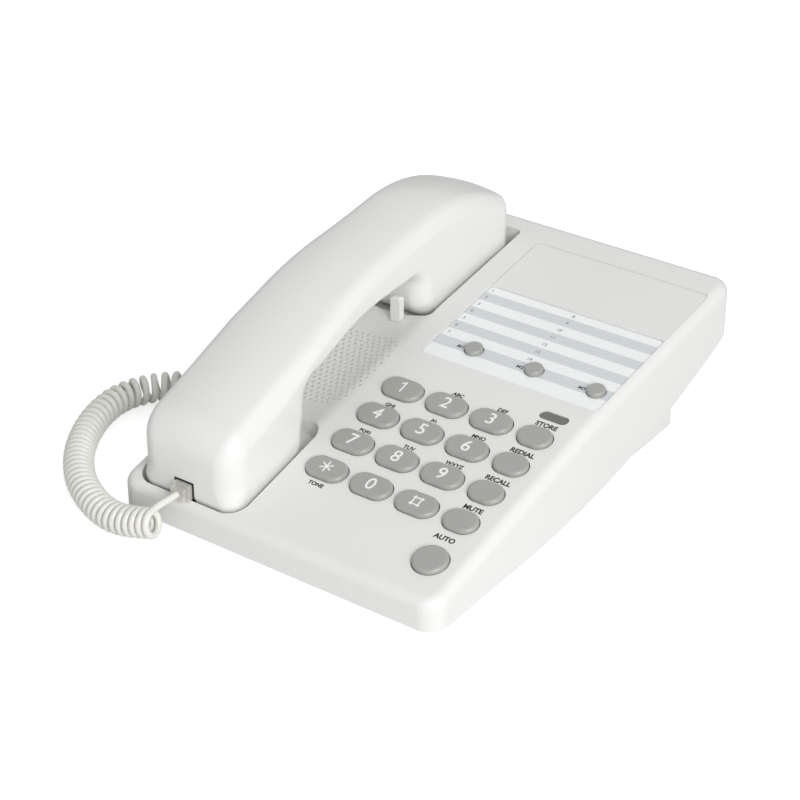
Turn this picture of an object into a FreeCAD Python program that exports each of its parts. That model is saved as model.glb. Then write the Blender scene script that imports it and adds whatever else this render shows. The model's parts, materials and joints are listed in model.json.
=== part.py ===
"""Corded desk telephone: a wedge base with keypad and cradle, a handset and its curly cord.

Lengths are millimetres. X runs to the right, Y to the back and Z up. The origin is the middle of the
base's footprint on the table. A depth is measured back from the base's front edge.
"""
import FreeCAD
import Part

import math
import os

V = FreeCAD.Vector

# Base housing
BASE_WIDTH = 150.0
BASE_DEPTH = 215.0
FRONT_HEIGHT = 13.3
BEND_DEPTH = 105.6
BEND_HEIGHT = 38.4
BEND_RADIUS = 90.0
CARD_TILT = 9.0
CORNER_RADIUS = 8.0
RIM_RADIUS = 4.5
WALL = 2.5
LIFT = 0.6
UNDER_TURN_DEPTH = 135.0
UNDER_RADIUS = 384.0
REAR_LOW_HEIGHT = 33.1
REAR_LOW_RADIUS = 8.0
FIT = 0.25

# Cradle
CRADLE_X = -44.2
MOUTH_POCKET = {"half": 25.6, "front": 2.8, "back": 60.0, "corner": 8.5, "deep": 8.0}
EAR_POCKET = {"half": 22.4, "front": 133.4, "back": 203.5, "corner": 3.0, "deep": 9.0}
TROUGH_HALF = 25.4
TROUGH_DEEP = 4.0
TROUGH_LIP_RADIUS = 20.0
TROUGH_LIP = 0.03
GRILLE_DEPTH = 94.0
GRILLE_HALF = (23.6, 23.2)
GRILLE_PITCH = (2.9, 2.4)
GRILLE_HOLE = 0.75
GRILLE_BORDER = 1.4
GRILLE_CORNER = 6.0
GRILLE_GAP = 0.05

# Keys, as column and row places on the keypad slope
KEY_X = -3.0
KEY_PITCH = (21.0, 17.0)
TOP_ROW = 91.5
DIGIT_KEY = (18.0, 11.0)
FUNCTION_X = 58.9
FUNCTION_KEY = (14.5, 10.8)
ROUND_KEY_PLACE = (60.1, 18.8)
ROUND_KEY = (14.0, 14.0)
MEMORY_X = (7.4, 36.1, 64.8)
MEMORY_ROW = 18.0
MEMORY_KEY = (7.6, 7.6)
KEY_PROUD = 1.9
MEMORY_PROUD = 1.3
KEY_GAP = 0.35
DIGIT_NAMES = ("1", "2", "3", "4", "5", "6", "7", "8", "9", "star", "0", "hash")
FUNCTION_NAMES = ("store", "redial", "recall", "mute")

# Layers under the top surface, measured square to it
FLANGE_TOP = -2.8
FLANGE_LOW = -4.0
STEM_LOW = -5.0
MAT_TOP = -7.0
BOARD_TOP = -8.2
BOARD_LOW = -9.8

# Index card, lamp and header panel on the upper slope
CARD = {"left": -11.2, "right": 71.8, "low": 6.6, "high": 59.0}
CARD_CORNER = 2.0
CARD_RECESS = 1.2
CARD_SHEET = 0.4
HEADER_HIGH = 94.6
GROOVE = 0.5
LAMP_PLACE = (59.3, 104.6)
LAMP = (12.5, 4.5)

# Handset, with depths and heights as it lies on the cradle
HANDSET_FRONT = 3.6
HANDSET_BACK = 199.0
MOUTH_HALF = 23.5
EAR_HALF = 20.3
HANDSET_CORNER = 11.0
HANDSET_WALL = 2.4
RIDGE_HALF = 18.7
BEVEL_DROP = 8.5
BEVEL_HALF = 24.5
CROWN_CORNER = 3.6
CROWN_RADIUS = 85.0
TOP_HEIGHT = 81.0
SEAT_GAP = 0.6
SEAM_GAP = 0.2

# Hook plunger
HOOK_X = -35.0
HOOK_DEPTH = 129.4
HOOK_SIZE = (4.6, 3.2)
HOOK_TOP = 49.6
HOOK_FLANGE = 26.0

# Curly cord
CORD = 2.4
CURL_RADIUS = 5.2
CLOSED_PITCH = 3.26
OPEN_PITCH = 4.9
CURL_COUNT = 44
OPENING_FROM = 25
PLUG = (7.6, 6.4, 11.4)
PLUG_DEPTH = 1.0
PLUG_HEIGHT = 17.3
PLUG_X = CRADLE_X
JACK_DEPTH = 72.0
JACK_HEIGHT = 8.6

# Screws, posts, feet, stand and sockets of the base
SCREW_PLACES = ((52.0, 8.0), (-60.0, 50.0), (67.0, 188.5), (-60.0, 188.5))
SEAT_RISE = 1.9
LINE_JACK = (12.6, 14.0, 11.0)
LINE_JACK_X = 30.0
LINE_JACK_LOW = 37.5
FRONT_FEET = ((-60.0, 18.0), (60.0, 18.0))
STAND_FEET = ((-50.0, 166.0), (50.0, 166.0))
FOOT_RADIUS = 5.0
SPRING_SEAT = 15.6
STAND = {"half": 69.0, "front": 148.0, "back": 178.5, "shoulder": 141.0, "wall": 2.4}
BOARD_POSTS = {
    "key": ((-11.0, 17.0), (-11.0, 104.0), (67.0, 99.0)),
    "line": ((-9.0, 30.0), (67.0, 30.0), (67.0, 70.0)),
}
SWITCH_X = HOOK_X + 10.0
SWITCH_SEAT = 14.0
RINGER_TOP = -9.5

# Handset details
SEAM = ((-20.0, 19.5), (18.0, 27.5), (66.0, 62.0), (108.0, 72.0), (150.0, 71.5), (230.0, 61.0))
SEAM_RADII = (40.0, 60.0, 120.0, 200.0)
EAR_PLACE = 172.0
MOUTH_PLACE = 27.0
HANDSET_SCREWS = ((CRADLE_X - 13.0, 30.0), (CRADLE_X, 151.0))
PLUG_MOUTH = (PLUG[0] + 0.5, PLUG[1] + 0.5)
HANDSET_JACK = (10.4, 13.5, 9.0)

# Middle line of the curls from the handset end to the base end, as (x, depth, height)
CURL_ROUTE = (
    (-43.5, -14.8, 11.9),
    (-55.5, -16.2, 8.4),
    (-68.5, -14.8, 6.6),
    (-82.0, -9.6, 6.5),
    (-95.0, -1.2, 6.5),
    (-106.5, 10.5, 6.5),
    (-115.6, 24.5, 6.5),
    (-121.8, 39.5, 6.5),
    (-124.0, 54.0, 6.5),
    (-119.6, 67.0, 6.5),
    (-110.0, 77.5, 6.5),
    (-98.0, 84.0, 6.5),
)

FRONT_Y = -BASE_DEPTH / 2
SIDE_X = BASE_WIDTH / 2
KEY_SLOPE = (BEND_HEIGHT - FRONT_HEIGHT) / BEND_DEPTH
CARD_SLOPE = math.tan(math.radians(CARD_TILT))
KEY_TILT = math.degrees(math.atan(KEY_SLOPE))
FAR = 150.0
RINGER_PLACE = (CRADLE_X, GRILLE_DEPTH / math.cos(math.radians(KEY_TILT)) - 2.0)


def tilted(depth, height, angle):
    """Frame lying on a slope: Y runs up the slope and Z stands square to it."""
    return FreeCAD.Placement(V(0, FRONT_Y + depth, height), FreeCAD.Rotation(V(1, 0, 0), angle))


KEY_FRAME = tilted(0, FRONT_HEIGHT, KEY_TILT)
CARD_FRAME = tilted(BEND_DEPTH, BEND_HEIGHT, CARD_TILT)


def rounded_wire(corners, to_space):
    """Closed wire through (a, b, radius) corners, each rounded to its own radius."""
    turns = []
    for i, (a, b, radius) in enumerate(corners):
        here = V(a, b, 0)
        back = (V(*corners[i - 1][:2], 0) - here).normalize()
        ahead = (V(*corners[(i + 1) % len(corners)][:2], 0) - here).normalize()
        half = back.getAngle(ahead) / 2
        reach = radius / math.tan(half)
        middle = here + (back + ahead).normalize() * (radius / math.sin(half) - radius)
        turns.append((here + back * reach, middle, here + ahead * reach))
    edges = []
    for i, (start, middle, end) in enumerate(turns):
        if corners[i][2] > 0:
            edges.append(Part.Arc(to_space(start), to_space(middle), to_space(end)).toShape())
        onward = turns[(i + 1) % len(turns)][0]
        if (onward - end).Length > 1e-6:
            edges.append(Part.LineSegment(to_space(end), to_space(onward)).toShape())
    return Part.Wire(edges)


def rectangle(left, right, low, high, radius):
    """Corners of a rounded rectangle."""
    return [(left, low, radius), (right, low, radius), (right, high, radius), (left, high, radius)]


def oval(centre, size):
    """Corners of an oval with round ends, or of a circle where both sizes are alike."""
    (u, v), (length, width) = centre, size
    return rectangle(u - length / 2, u + length / 2, v - width / 2, v + width / 2, min(size) / 2)


def grown(size, by):
    """Both sizes made larger by the same amount."""
    return size[0] + by, size[1] + by


def inset_wire(wire, inset):
    """Wire moved inward by a wall's thickness."""
    return wire if inset == 0 else wire.makeOffset2D(-inset)


def side_prism(corners, half, centre=0.0, inset=0.0):
    """Solid with a side profile of (depth, height, radius) corners, straight across X."""
    wire = rounded_wire(corners, lambda p: V(centre - half, FRONT_Y + p.x, p.y))
    return Part.Face(inset_wire(wire, inset)).extrude(V(2 * half, 0, 0))


def plan_prism(corners, low, high, inset=0.0):
    """Upright solid on a plan of (x, depth, radius) corners."""
    wire = rounded_wire(corners, lambda p: V(p.x, FRONT_Y + p.y, low))
    return Part.Face(inset_wire(wire, inset)).extrude(V(0, 0, high - low))


def slope_prism(frame, corners, low, high):
    """Solid on a slope, between two heights square to it."""
    wire = rounded_wire(corners, lambda p: V(p.x, p.y, low))
    solid = Part.Face(wire).extrude(V(0, 0, high - low))
    solid.Placement = frame
    return solid


def slope_disc(frame, centre, radius, low, high):
    """Round post or disc on a slope, between two heights square to it."""
    disc = Part.makeCylinder(radius, high - low, V(centre[0], centre[1], low))
    disc.Placement = frame
    return disc


def post(x, depth, radius, low, high):
    """Upright round post."""
    return Part.makeCylinder(radius, high - low, V(x, FRONT_Y + depth, low))


def block(x, depth, low, size):
    """Upright box centred on a place, standing at a height."""
    corner = V(x - size[0] / 2, FRONT_Y + depth - size[1] / 2, low)
    return Part.makeBox(*size, corner)


def surface_height(depth):
    """Height of the base's top surface at a depth."""
    return min(FRONT_HEIGHT + depth * KEY_SLOPE, BEND_HEIGHT + (depth - BEND_DEPTH) * CARD_SLOPE)


def underside_height(depth):
    """Height of the base's underside at a depth."""
    start = UNDER_TURN_DEPTH - UNDER_RADIUS * math.tan(under_turn() / 2)
    rise = UNDER_RADIUS - math.sqrt(UNDER_RADIUS ** 2 - max(depth - start, 0) ** 2)
    return LIFT + rise


def under_turn():
    """Angle through which the underside turns up towards the back."""
    return math.atan2(REAR_LOW_HEIGHT - LIFT, BASE_DEPTH - UNDER_TURN_DEPTH)


def roof(inset, front, back):
    """Profile corners of the top surface, moved inward, from one depth to another."""
    key_line = FRONT_HEIGHT - inset / math.cos(math.radians(KEY_TILT))
    card_line = BEND_HEIGHT - BEND_DEPTH * CARD_SLOPE - inset / math.cos(math.radians(CARD_TILT))
    bend = (card_line - key_line) / (KEY_SLOPE - CARD_SLOPE)
    return [
        (front, key_line + front * KEY_SLOPE, 0),
        (bend, key_line + bend * KEY_SLOPE, BEND_RADIUS),
        (back, card_line + back * CARD_SLOPE, 0),
    ]


def base_plan(inset):
    """Plan corners of the base, moved inward."""
    return rectangle(
        inset - SIDE_X, SIDE_X - inset, inset, BASE_DEPTH - inset, CORNER_RADIUS - inset
    )


def base_block():
    """Outer form of the base with its rounded rim, before it is hollowed."""
    profile = [
        (0, LIFT, 0),
        *roof(0, 0, BASE_DEPTH),
        (BASE_DEPTH, REAR_LOW_HEIGHT, REAR_LOW_RADIUS),
        (UNDER_TURN_DEPTH, LIFT, UNDER_RADIUS),
    ]
    solid = side_prism(profile, SIDE_X).common(plan_prism(base_plan(0), 0, FAR))
    return solid.makeFillet(RIM_RADIUS, rim_edges(solid))


def rim_edges(solid):
    """Edges where the base's top surface meets its walls."""
    rim = []
    for edge in solid.Edges:
        middle = edge.valueAt((edge.FirstParameter + edge.LastParameter) / 2)
        depth = middle.y - FRONT_Y
        on_top = abs(middle.z - surface_height(depth)) < 0.1
        across = abs(middle.x) < 1 and 1 < depth < BASE_DEPTH - 1
        if on_top and not across:
            rim.append(edge)
    return rim


def pocket(shape, frame, grow=0.0):
    """Space that one end of the handset sinks into, with upright walls and a floor along the slope."""
    plan = rectangle(
        CRADLE_X - shape["half"] - grow,
        CRADLE_X + shape["half"] + grow,
        shape["front"] - grow,
        shape["back"] + grow,
        shape["corner"] + grow,
    )
    above = slope_prism(frame, rectangle(-FAR, FAR, -FAR, FAR, 0), -shape["deep"] - grow, FAR)
    return plan_prism(plan, 0, FAR).common(above)


def trough(lower=0.0):
    """Shallow hollow between the two pockets, with soft lips that roll into the top surface."""
    drop = TROUGH_DEEP + TROUGH_LIP
    turn = 2 * math.atan(drop / TROUGH_HALF)
    bowl = TROUGH_HALF / math.sin(turn) - TROUGH_LIP_RADIUS

    def lip(side, angle):
        u = side * (TROUGH_HALF - TROUGH_LIP_RADIUS * math.sin(angle))
        return V(CRADLE_X + u, 0, TROUGH_LIP - lower - TROUGH_LIP_RADIUS * (1 - math.cos(angle)))

    low = V(CRADLE_X, 0, -TROUGH_DEEP - lower)
    top = V(0, 0, 40)
    section = [
        Part.Arc(lip(-1, 0), lip(-1, turn / 2), lip(-1, turn)).toShape(),
        Part.Arc(lip(-1, turn), low, lip(1, turn)).toShape(),
        Part.Arc(lip(1, turn), lip(1, turn / 2), lip(1, 0)).toShape(),
        Part.LineSegment(lip(1, 0), lip(1, 0) + top).toShape(),
        Part.LineSegment(lip(1, 0) + top, lip(-1, 0) + top).toShape(),
        Part.LineSegment(lip(-1, 0) + top, lip(-1, 0)).toShape(),
    ]
    face = Part.Face(Part.Wire(section))
    past_bend = 6.0
    front_run = BEND_DEPTH - MOUTH_POCKET["back"] + 10.0
    back_run = EAR_POCKET["front"] - BEND_DEPTH + 5.0
    lower_part = face.extrude(V(0, front_run + past_bend, 0))
    lower_part.translate(V(0, BEND_DEPTH / math.cos(math.radians(KEY_TILT)) - front_run, 0))
    lower_part.Placement = KEY_FRAME.multiply(lower_part.Placement)
    upper_part = face.extrude(V(0, back_run + past_bend, 0))
    upper_part.translate(V(0, -past_bend, 0))
    upper_part.Placement = CARD_FRAME.multiply(upper_part.Placement)
    return lower_part.fuse(upper_part)


def grille_holes():
    """Staggered six-sided holes over the ringer, inside a soft-cornered square."""
    holes = []
    half_x, half_y = GRILLE_HALF
    rows = int(half_y / GRILLE_PITCH[1])
    columns = int(half_x / GRILLE_PITCH[0]) + 1
    for row in range(-rows, rows + 1):
        for column in range(-columns, columns + 1):
            across = (column + 0.5 * (row % 2)) * GRILLE_PITCH[0]
            along = row * GRILLE_PITCH[1]
            if abs(across / half_x) ** 5 + abs(along / half_y) ** 5 < 1:
                holes.append(grille_hole(CRADLE_X + across, GRILLE_DEPTH + along))
    return Part.makeCompound(holes)


def grille_hole(x, depth):
    """One six-sided hole through the trough's floor."""
    top = surface_height(depth) + 1
    corners = []
    for i in range(6):
        turn = math.radians(60 * i)
        corners.append(V(x + GRILLE_HOLE * math.cos(turn), FRONT_Y + depth + GRILLE_HOLE * math.sin(turn), top))
    return Part.Face(Part.makePolygon(corners + corners[:1])).extrude(V(0, 0, -12))


def key_places():
    """Every key's name, slope, place, size and height above the surface."""
    places = {}
    for i, name in enumerate(DIGIT_NAMES):
        place = (KEY_X + KEY_PITCH[0] * (i % 3), TOP_ROW - KEY_PITCH[1] * (i // 3))
        places["key_" + name] = (KEY_FRAME, place, DIGIT_KEY, KEY_PROUD)
    for i, name in enumerate(FUNCTION_NAMES):
        place = (FUNCTION_X, TOP_ROW - KEY_PITCH[1] * i)
        places["key_" + name] = (KEY_FRAME, place, FUNCTION_KEY, KEY_PROUD)
    places["key_auto"] = (KEY_FRAME, ROUND_KEY_PLACE, ROUND_KEY, KEY_PROUD)
    for i, x in enumerate(MEMORY_X):
        places["key_memory_" + str(i + 1)] = (CARD_FRAME, (x, MEMORY_ROW), MEMORY_KEY, MEMORY_PROUD)
    return places


def key(frame, place, size, proud):
    """Key cap with a rounded top, a flange that holds it in the housing and a stem over its dome."""
    cap = slope_prism(frame, oval(place, size), FLANGE_TOP, proud)
    normal = frame.Rotation.multVec(V(0, 0, 1))
    top = max(cap.Faces, key=lambda face: face.CenterOfMass.dot(normal))
    cap = cap.makeFillet(proud * 0.62, top.Edges)
    flange = slope_prism(frame, oval(place, grown(size, 1.8)), FLANGE_LOW, FLANGE_TOP)
    stem = slope_disc(frame, place, min(size) / 4, STEM_LOW, FLANGE_LOW)
    return cap.fuse([flange, stem]).removeSplitter()


def key_openings(frame):
    """Openings for every key on one slope."""
    cuts = []
    for on, place, size, proud in key_places().values():
        if on is frame:
            cuts.append(slope_prism(frame, oval(place, grown(size, 2 * KEY_GAP)), -WALL - 1, proud + 1))
    return cuts


def base_top_cover(outer):
    """Moulded top housing: cradle, grille, key openings, card recess, bosses and board posts."""
    walls = side_prism(
        [(WALL, -10, 0), *roof(WALL, WALL, BASE_DEPTH - WALL), (BASE_DEPTH - WALL, -10, 0)], SIDE_X - WALL
    )
    cavity = walls.common(plan_prism(base_plan(WALL), -20, FAR))
    mouth_shell = pocket(MOUTH_POCKET, KEY_FRAME, WALL - 0.3)
    ear_shell = pocket(EAR_POCKET, CARD_FRAME, WALL - 0.3)
    hollow = cavity.cut([mouth_shell, ear_shell, trough(WALL)])
    cover = outer.cut(hollow)
    cover = cover.fuse(base_bosses(outer))
    cuts = [pocket(MOUTH_POCKET, KEY_FRAME), pocket(EAR_POCKET, CARD_FRAME), trough()]
    cuts += key_openings(KEY_FRAME) + key_openings(CARD_FRAME)
    cuts += [card_recess(), header_groove(), lamp_opening()]
    cuts.append(block(HOOK_X, HOOK_DEPTH, 30, (HOOK_SIZE[0] + 0.8, HOOK_SIZE[1] + 0.8, 30)))
    cuts.append(block(-SIDE_X, JACK_DEPTH, JACK_HEIGHT - 4.1, (9.0, 9.0, 8.2)))
    cuts.append(block(LINE_JACK_X, BASE_DEPTH, LINE_JACK_LOW - FIT, (LINE_JACK[0] + 2 * FIT, 9.0, LINE_JACK[2] + 2 * FIT)))
    cuts += [post(x, depth, 1.3, underside_height(depth), underside_height(depth) + 8.5) for x, depth in SCREW_PLACES]
    return cover.cut(cuts)


def grille_window(slack):
    """Upright prism round the perforated plate."""
    half_x, half_y = GRILLE_HALF[0] + GRILLE_BORDER + slack, GRILLE_HALF[1] + GRILLE_BORDER + slack
    plan = rectangle(
        CRADLE_X - half_x, CRADLE_X + half_x, GRILLE_DEPTH - half_y, GRILLE_DEPTH + half_y, GRILLE_CORNER + slack
    )
    return plan_prism(plan, 0, FAR)


def speaker_grille(cover):
    """Perforated plate in the trough's floor, with the ring that seats the ringer."""
    return cover.common(grille_window(0)).cut(grille_holes()).removeSplitter()


def base_bosses(outer):
    """Screw bosses, board posts and the ring that seats the ringer, all hanging from the top housing."""
    under = outer.copy()
    under.translate(V(0, 0, -1.0))
    pieces = []
    for x, depth in SCREW_PLACES:
        pieces.append(post(x, depth, 3.6, underside_height(depth) + WALL + SEAT_RISE, FAR).common(under))
    for frame, places in ((KEY_FRAME, BOARD_POSTS["key"]), (CARD_FRAME, BOARD_POSTS["line"])):
        pieces += [slope_disc(frame, place, 2.4, BOARD_TOP, -1.0) for place in places]
    ring = slope_disc(KEY_FRAME, RINGER_PLACE, 21.0, RINGER_TOP, 0)
    ring = ring.cut(slope_disc(KEY_FRAME, RINGER_PLACE, 19.0, RINGER_TOP - 1, 1))
    pieces.append(ring.cut(trough(1.0)))
    return pieces


def card_recess():
    """Shallow recess that holds the index card and its clear cover."""
    return slope_prism(
        CARD_FRAME, rectangle(CARD["left"], CARD["right"], CARD["low"], CARD["high"], CARD_CORNER), -CARD_RECESS, 5
    )


def header_groove():
    """Fine groove round the plain panel above the card."""
    outline = rectangle(CARD["left"], CARD["right"], CARD["high"] - 4, HEADER_HIGH, CARD_CORNER)
    inner = rectangle(
        CARD["left"] + GROOVE, CARD["right"] - GROOVE, CARD["low"], HEADER_HIGH - GROOVE, CARD_CORNER - GROOVE
    )
    return slope_prism(CARD_FRAME, outline, -GROOVE, 1).cut(slope_prism(CARD_FRAME, inner, -1, 2))


def lamp_opening():
    """Opening for the message lamp's lens."""
    return slope_prism(KEY_FRAME, oval(LAMP_PLACE, grown(LAMP, 0.3)), -WALL - 1, 3)


def base_bottom_cover(outer):
    """Moulded bottom plate inside the top housing's walls, with screw recesses and the hook's seat."""
    inner_turn = UNDER_TURN_DEPTH - WALL * math.tan(under_turn() / 2)
    inner_radius = UNDER_RADIUS - WALL
    back = BASE_DEPTH + 10
    floor = LIFT + WALL
    upper = side_prism(
        [
            (-10, floor, 0),
            (inner_turn, floor, inner_radius),
            (back, floor + (back - inner_turn) * math.tan(under_turn()), 0),
            (back, FAR, 0),
            (-10, FAR, 0),
        ],
        SIDE_X,
    )
    plate = outer.common(plan_prism(base_plan(WALL + FIT), -1, FAR)).cut(upper)
    plate = plate.fuse(bottom_seats())
    cuts = []
    for x, depth in SCREW_PLACES:
        low = underside_height(depth)
        cuts.append(post(x, depth, 1.8, low - 1, low + 12))
        cuts.append(post(x, depth, 3.4, low - 6, low + 2.4))
    for x, depth in FRONT_FEET:
        cuts.append(post(x, depth, FOOT_RADIUS + FIT, -1, LIFT + 1.0))
    return plate.cut(cuts).removeSplitter()


def bottom_seats():
    """Screw seats, the post under the hook's spring and the seat of the hook switch."""
    seats = []
    for x, depth in SCREW_PLACES:
        low = underside_height(depth)
        seats.append(post(x, depth, 4.2, low + 1.5, low + WALL + SEAT_RISE))
    low = underside_height(HOOK_DEPTH)
    seats.append(post(HOOK_X, HOOK_DEPTH, 4.4, low + 1, SPRING_SEAT))
    seats.append(post(HOOK_X, HOOK_DEPTH, 1.4, low + 1, SPRING_SEAT + 3))
    seats.append(block(SWITCH_X, HOOK_DEPTH, low + 1, (8.0, 12.0, SWITCH_SEAT - low - 1)))
    return seats


def rear_stand(outer):
    """Hollow wedge foot under the back, with a rib across it and recesses for its rubber pads."""
    profile = [
        (STAND["front"], LIFT, 2.0),
        (STAND["back"], LIFT, 1.5),
        (STAND["back"], 40, 0),
        (STAND["shoulder"], 40, 0),
        (STAND["shoulder"], 8.0, 6.0),
    ]
    wall = STAND["wall"]
    body = side_prism(profile, STAND["half"])
    hollow = side_prism(profile, STAND["half"] - wall, 0, wall)
    hollow = hollow.fuse(side_prism(rectangle(STAND["shoulder"] + wall, STAND["back"] - wall, 20, 60, 0), STAND["half"] - wall))
    ribs = [block(x, 166.0, LIFT + 1, (2.0, 38.0, 30.0)).common(body) for x in (-23.0, 23.0)]
    stand = body.cut(hollow).fuse(ribs).cut(outer)
    pads = [post(x, depth, FOOT_RADIUS + FIT, -1, LIFT + 1.0) for x, depth in STAND_FEET]
    return stand.cut(pads).removeSplitter()


def rubber_feet():
    """Round pads under the front of the base and under the stand."""
    pads = [post(x, depth, FOOT_RADIUS, 0, LIFT + 1.0) for x, depth in FRONT_FEET + STAND_FEET]
    return Part.makeCompound(pads)


def case_screws():
    """Pan-head screws that hold the two housings together."""
    screws = []
    for x, depth in SCREW_PLACES:
        low = underside_height(depth)
        head = post(x, depth, 2.9, low + 0.6, low + 2.4)
        screws.append(head.fuse(post(x, depth, 1.25, low + 2.4, low + 8.2)).removeSplitter())
    return Part.makeCompound(screws)


def keypad_mat():
    """Rubber sheet with a low dome under each key of the keypad."""
    sheet = slope_prism(KEY_FRAME, rectangle(-14.0, 68.0, 10.5, 98.5, 3.0), BOARD_TOP, MAT_TOP - 0.4)
    domes = []
    for frame, place, size, proud in key_places().values():
        if frame is KEY_FRAME:
            domes.append(slope_disc(frame, place, min(size) / 3, MAT_TOP - 0.6, MAT_TOP))
    holes = [slope_disc(KEY_FRAME, place, 2.8, -12, 0) for place in BOARD_POSTS["key"]]
    return sheet.fuse(domes).cut(holes).removeSplitter()


def memory_mat():
    """Rubber strip with a low dome under each memory key."""
    sheet = slope_prism(CARD_FRAME, rectangle(2.0, 70.0, 12.0, 24.0, 3.0), BOARD_TOP, MAT_TOP - 0.4)
    domes = [slope_disc(CARD_FRAME, (x, MEMORY_ROW), 2.6, MAT_TOP - 0.6, MAT_TOP) for x in MEMORY_X]
    return sheet.fuse(domes).removeSplitter()


def keypad_board():
    """Circuit board under the keypad mat."""
    return slope_prism(KEY_FRAME, rectangle(-15.5, 70.5, 13.0, 108.5, 1.0), BOARD_LOW, BOARD_TOP)


def line_board():
    """Circuit board under the index card, with the blocks of its larger components."""
    board = slope_prism(CARD_FRAME, rectangle(-15.5, 70.5, 6.5, 76.0, 1.0), BOARD_LOW, BOARD_TOP)
    parts = [
        slope_prism(CARD_FRAME, rectangle(10.0, 26.0, 50.0, 64.0, 0.5), BOARD_LOW - 10.0, BOARD_LOW),
        slope_prism(CARD_FRAME, rectangle(38.0, 56.0, 42.0, 51.0, 0.5), BOARD_LOW - 2.6, BOARD_LOW),
        slope_disc(CARD_FRAME, (2.0, 68.0), 5.0, BOARD_LOW - 11.0, BOARD_LOW),
    ]
    return board.fuse(parts).removeSplitter()


def ringer_speaker():
    """Loudspeaker under the grille: rim, basket and magnet."""
    rim = slope_disc(KEY_FRAME, RINGER_PLACE, 20.6, RINGER_TOP - 1.6, RINGER_TOP)
    basket = Part.makeCone(10.0, 18.0, 5.0, V(*RINGER_PLACE, RINGER_TOP - 6.6))
    basket.Placement = KEY_FRAME
    magnet = slope_disc(KEY_FRAME, RINGER_PLACE, 11.0, RINGER_TOP - 11.6, RINGER_TOP - 6.6)
    return rim.fuse([basket, magnet]).removeSplitter()


def card_outline(slack):
    """Corners of a sheet that lies in the card recess."""
    return rectangle(
        CARD["left"] + slack, CARD["right"] - slack, CARD["low"] + slack, CARD["high"] - slack, CARD_CORNER - slack
    )


def index_card():
    """Printed card on the floor of its recess, with holes round the memory keys."""
    sheet = slope_prism(CARD_FRAME, card_outline(0.3), -CARD_RECESS, CARD_SHEET - CARD_RECESS)
    return sheet.cut(key_openings(CARD_FRAME))


def card_cover():
    """Clear cover over the index card, flush with the housing."""
    sheet = slope_prism(CARD_FRAME, card_outline(0.15), CARD_SHEET - CARD_RECESS, 0)
    return sheet.cut(key_openings(CARD_FRAME))


def message_lamp_lens():
    """Tinted window of the message lamp, with a flange inside the housing."""
    window = slope_prism(KEY_FRAME, oval(LAMP_PLACE, LAMP), FLANGE_LOW, -0.6)
    flange = slope_prism(KEY_FRAME, oval(LAMP_PLACE, grown(LAMP, 2.0)), FLANGE_LOW, -WALL - 0.4)
    return window.fuse(flange).removeSplitter()


def message_lamp_led():
    """Round lamp that stands on the keypad board under its window."""
    body = slope_disc(KEY_FRAME, LAMP_PLACE, 1.5, BOARD_TOP, -5.8)
    dome = Part.makeSphere(1.5, V(*LAMP_PLACE, -5.8))
    dome.Placement = KEY_FRAME
    return body.fuse(dome).removeSplitter()


def hook_plunger():
    """Spring-loaded tab that the earpiece holds down."""
    tab = block(HOOK_X, HOOK_DEPTH, HOOK_FLANGE, (*HOOK_SIZE, HOOK_TOP - HOOK_FLANGE))
    tab = tab.makeFillet(1.3, [edge for edge in tab.Edges if edge.CenterOfMass.z > HOOK_TOP - 0.1])
    flange = block(HOOK_X, HOOK_DEPTH, HOOK_FLANGE, (8.4, 7.4, 2.0))
    arm = block(HOOK_X + 7.0, HOOK_DEPTH, HOOK_FLANGE, (9.0, 3.0, 2.0))
    return tab.fuse([flange, arm]).removeSplitter()


def hook_switch():
    """Switch beside the hook's spring, with the button that the plunger's arm presses."""
    body = block(SWITCH_X, HOOK_DEPTH, SWITCH_SEAT, (6.0, 12.0, 7.0))
    button = block(SWITCH_X, HOOK_DEPTH, SWITCH_SEAT + 7.0, (2.4, 2.4, HOOK_FLANGE - SWITCH_SEAT - 7.3))
    return body.fuse(button).removeSplitter()


def modular_jack(size, mouth, mouth_deep):
    """Jack body with its mouth open towards +Y at the origin."""
    body = Part.makeBox(size[0], size[1], size[2], V(-size[0] / 2, -size[1], 0))
    rise = (size[2] - mouth[1]) / 2
    hole = Part.makeBox(mouth[0], mouth_deep + 1, mouth[1], V(-mouth[0] / 2, -mouth_deep, rise))
    latch = Part.makeBox(mouth[0] * 0.55, mouth_deep + 1, 1.2, V(-mouth[0] * 0.275, -mouth_deep, rise - 1.2))
    return body.cut([hole, latch]).removeSplitter()


def placed(shape, x, depth, height, turn):
    """Shape turned about Z and moved to a place."""
    shape.Placement = FreeCAD.Placement(V(x, FRONT_Y + depth, height), FreeCAD.Rotation(V(0, 0, 1), turn))
    return shape


def line_jack():
    """Line socket in the rear wall."""
    return placed(modular_jack(LINE_JACK, (9.8, 6.8), 11.0), LINE_JACK_X, BASE_DEPTH - 0.4, LINE_JACK_LOW, 0)


def handset_jack():
    """Handset cord's socket inside the left wall."""
    size = (10.4, 13.0, 9.4)
    jack = modular_jack(size, PLUG_MOUTH, 9.0)
    return placed(jack, WALL - SIDE_X, JACK_DEPTH, JACK_HEIGHT - size[2] / 2, 90)


def modular_plug():
    """Clear modular plug pointing along -Y from its back face at the origin, with its latch underneath."""
    width, height, length = PLUG
    body = Part.makeBox(width, length, height, V(-width / 2, -length, -height / 2))
    tail = Part.makeBox(width * 0.8, 2.0, height * 0.8, V(-width * 0.4, -0.01, -height * 0.4))
    latch = Part.makeBox(3.2, 9.0, 0.8, V(-1.6, -length + 0.6, -height / 2 - 0.8))
    return body.fuse([tail, latch]).removeSplitter()


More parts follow.
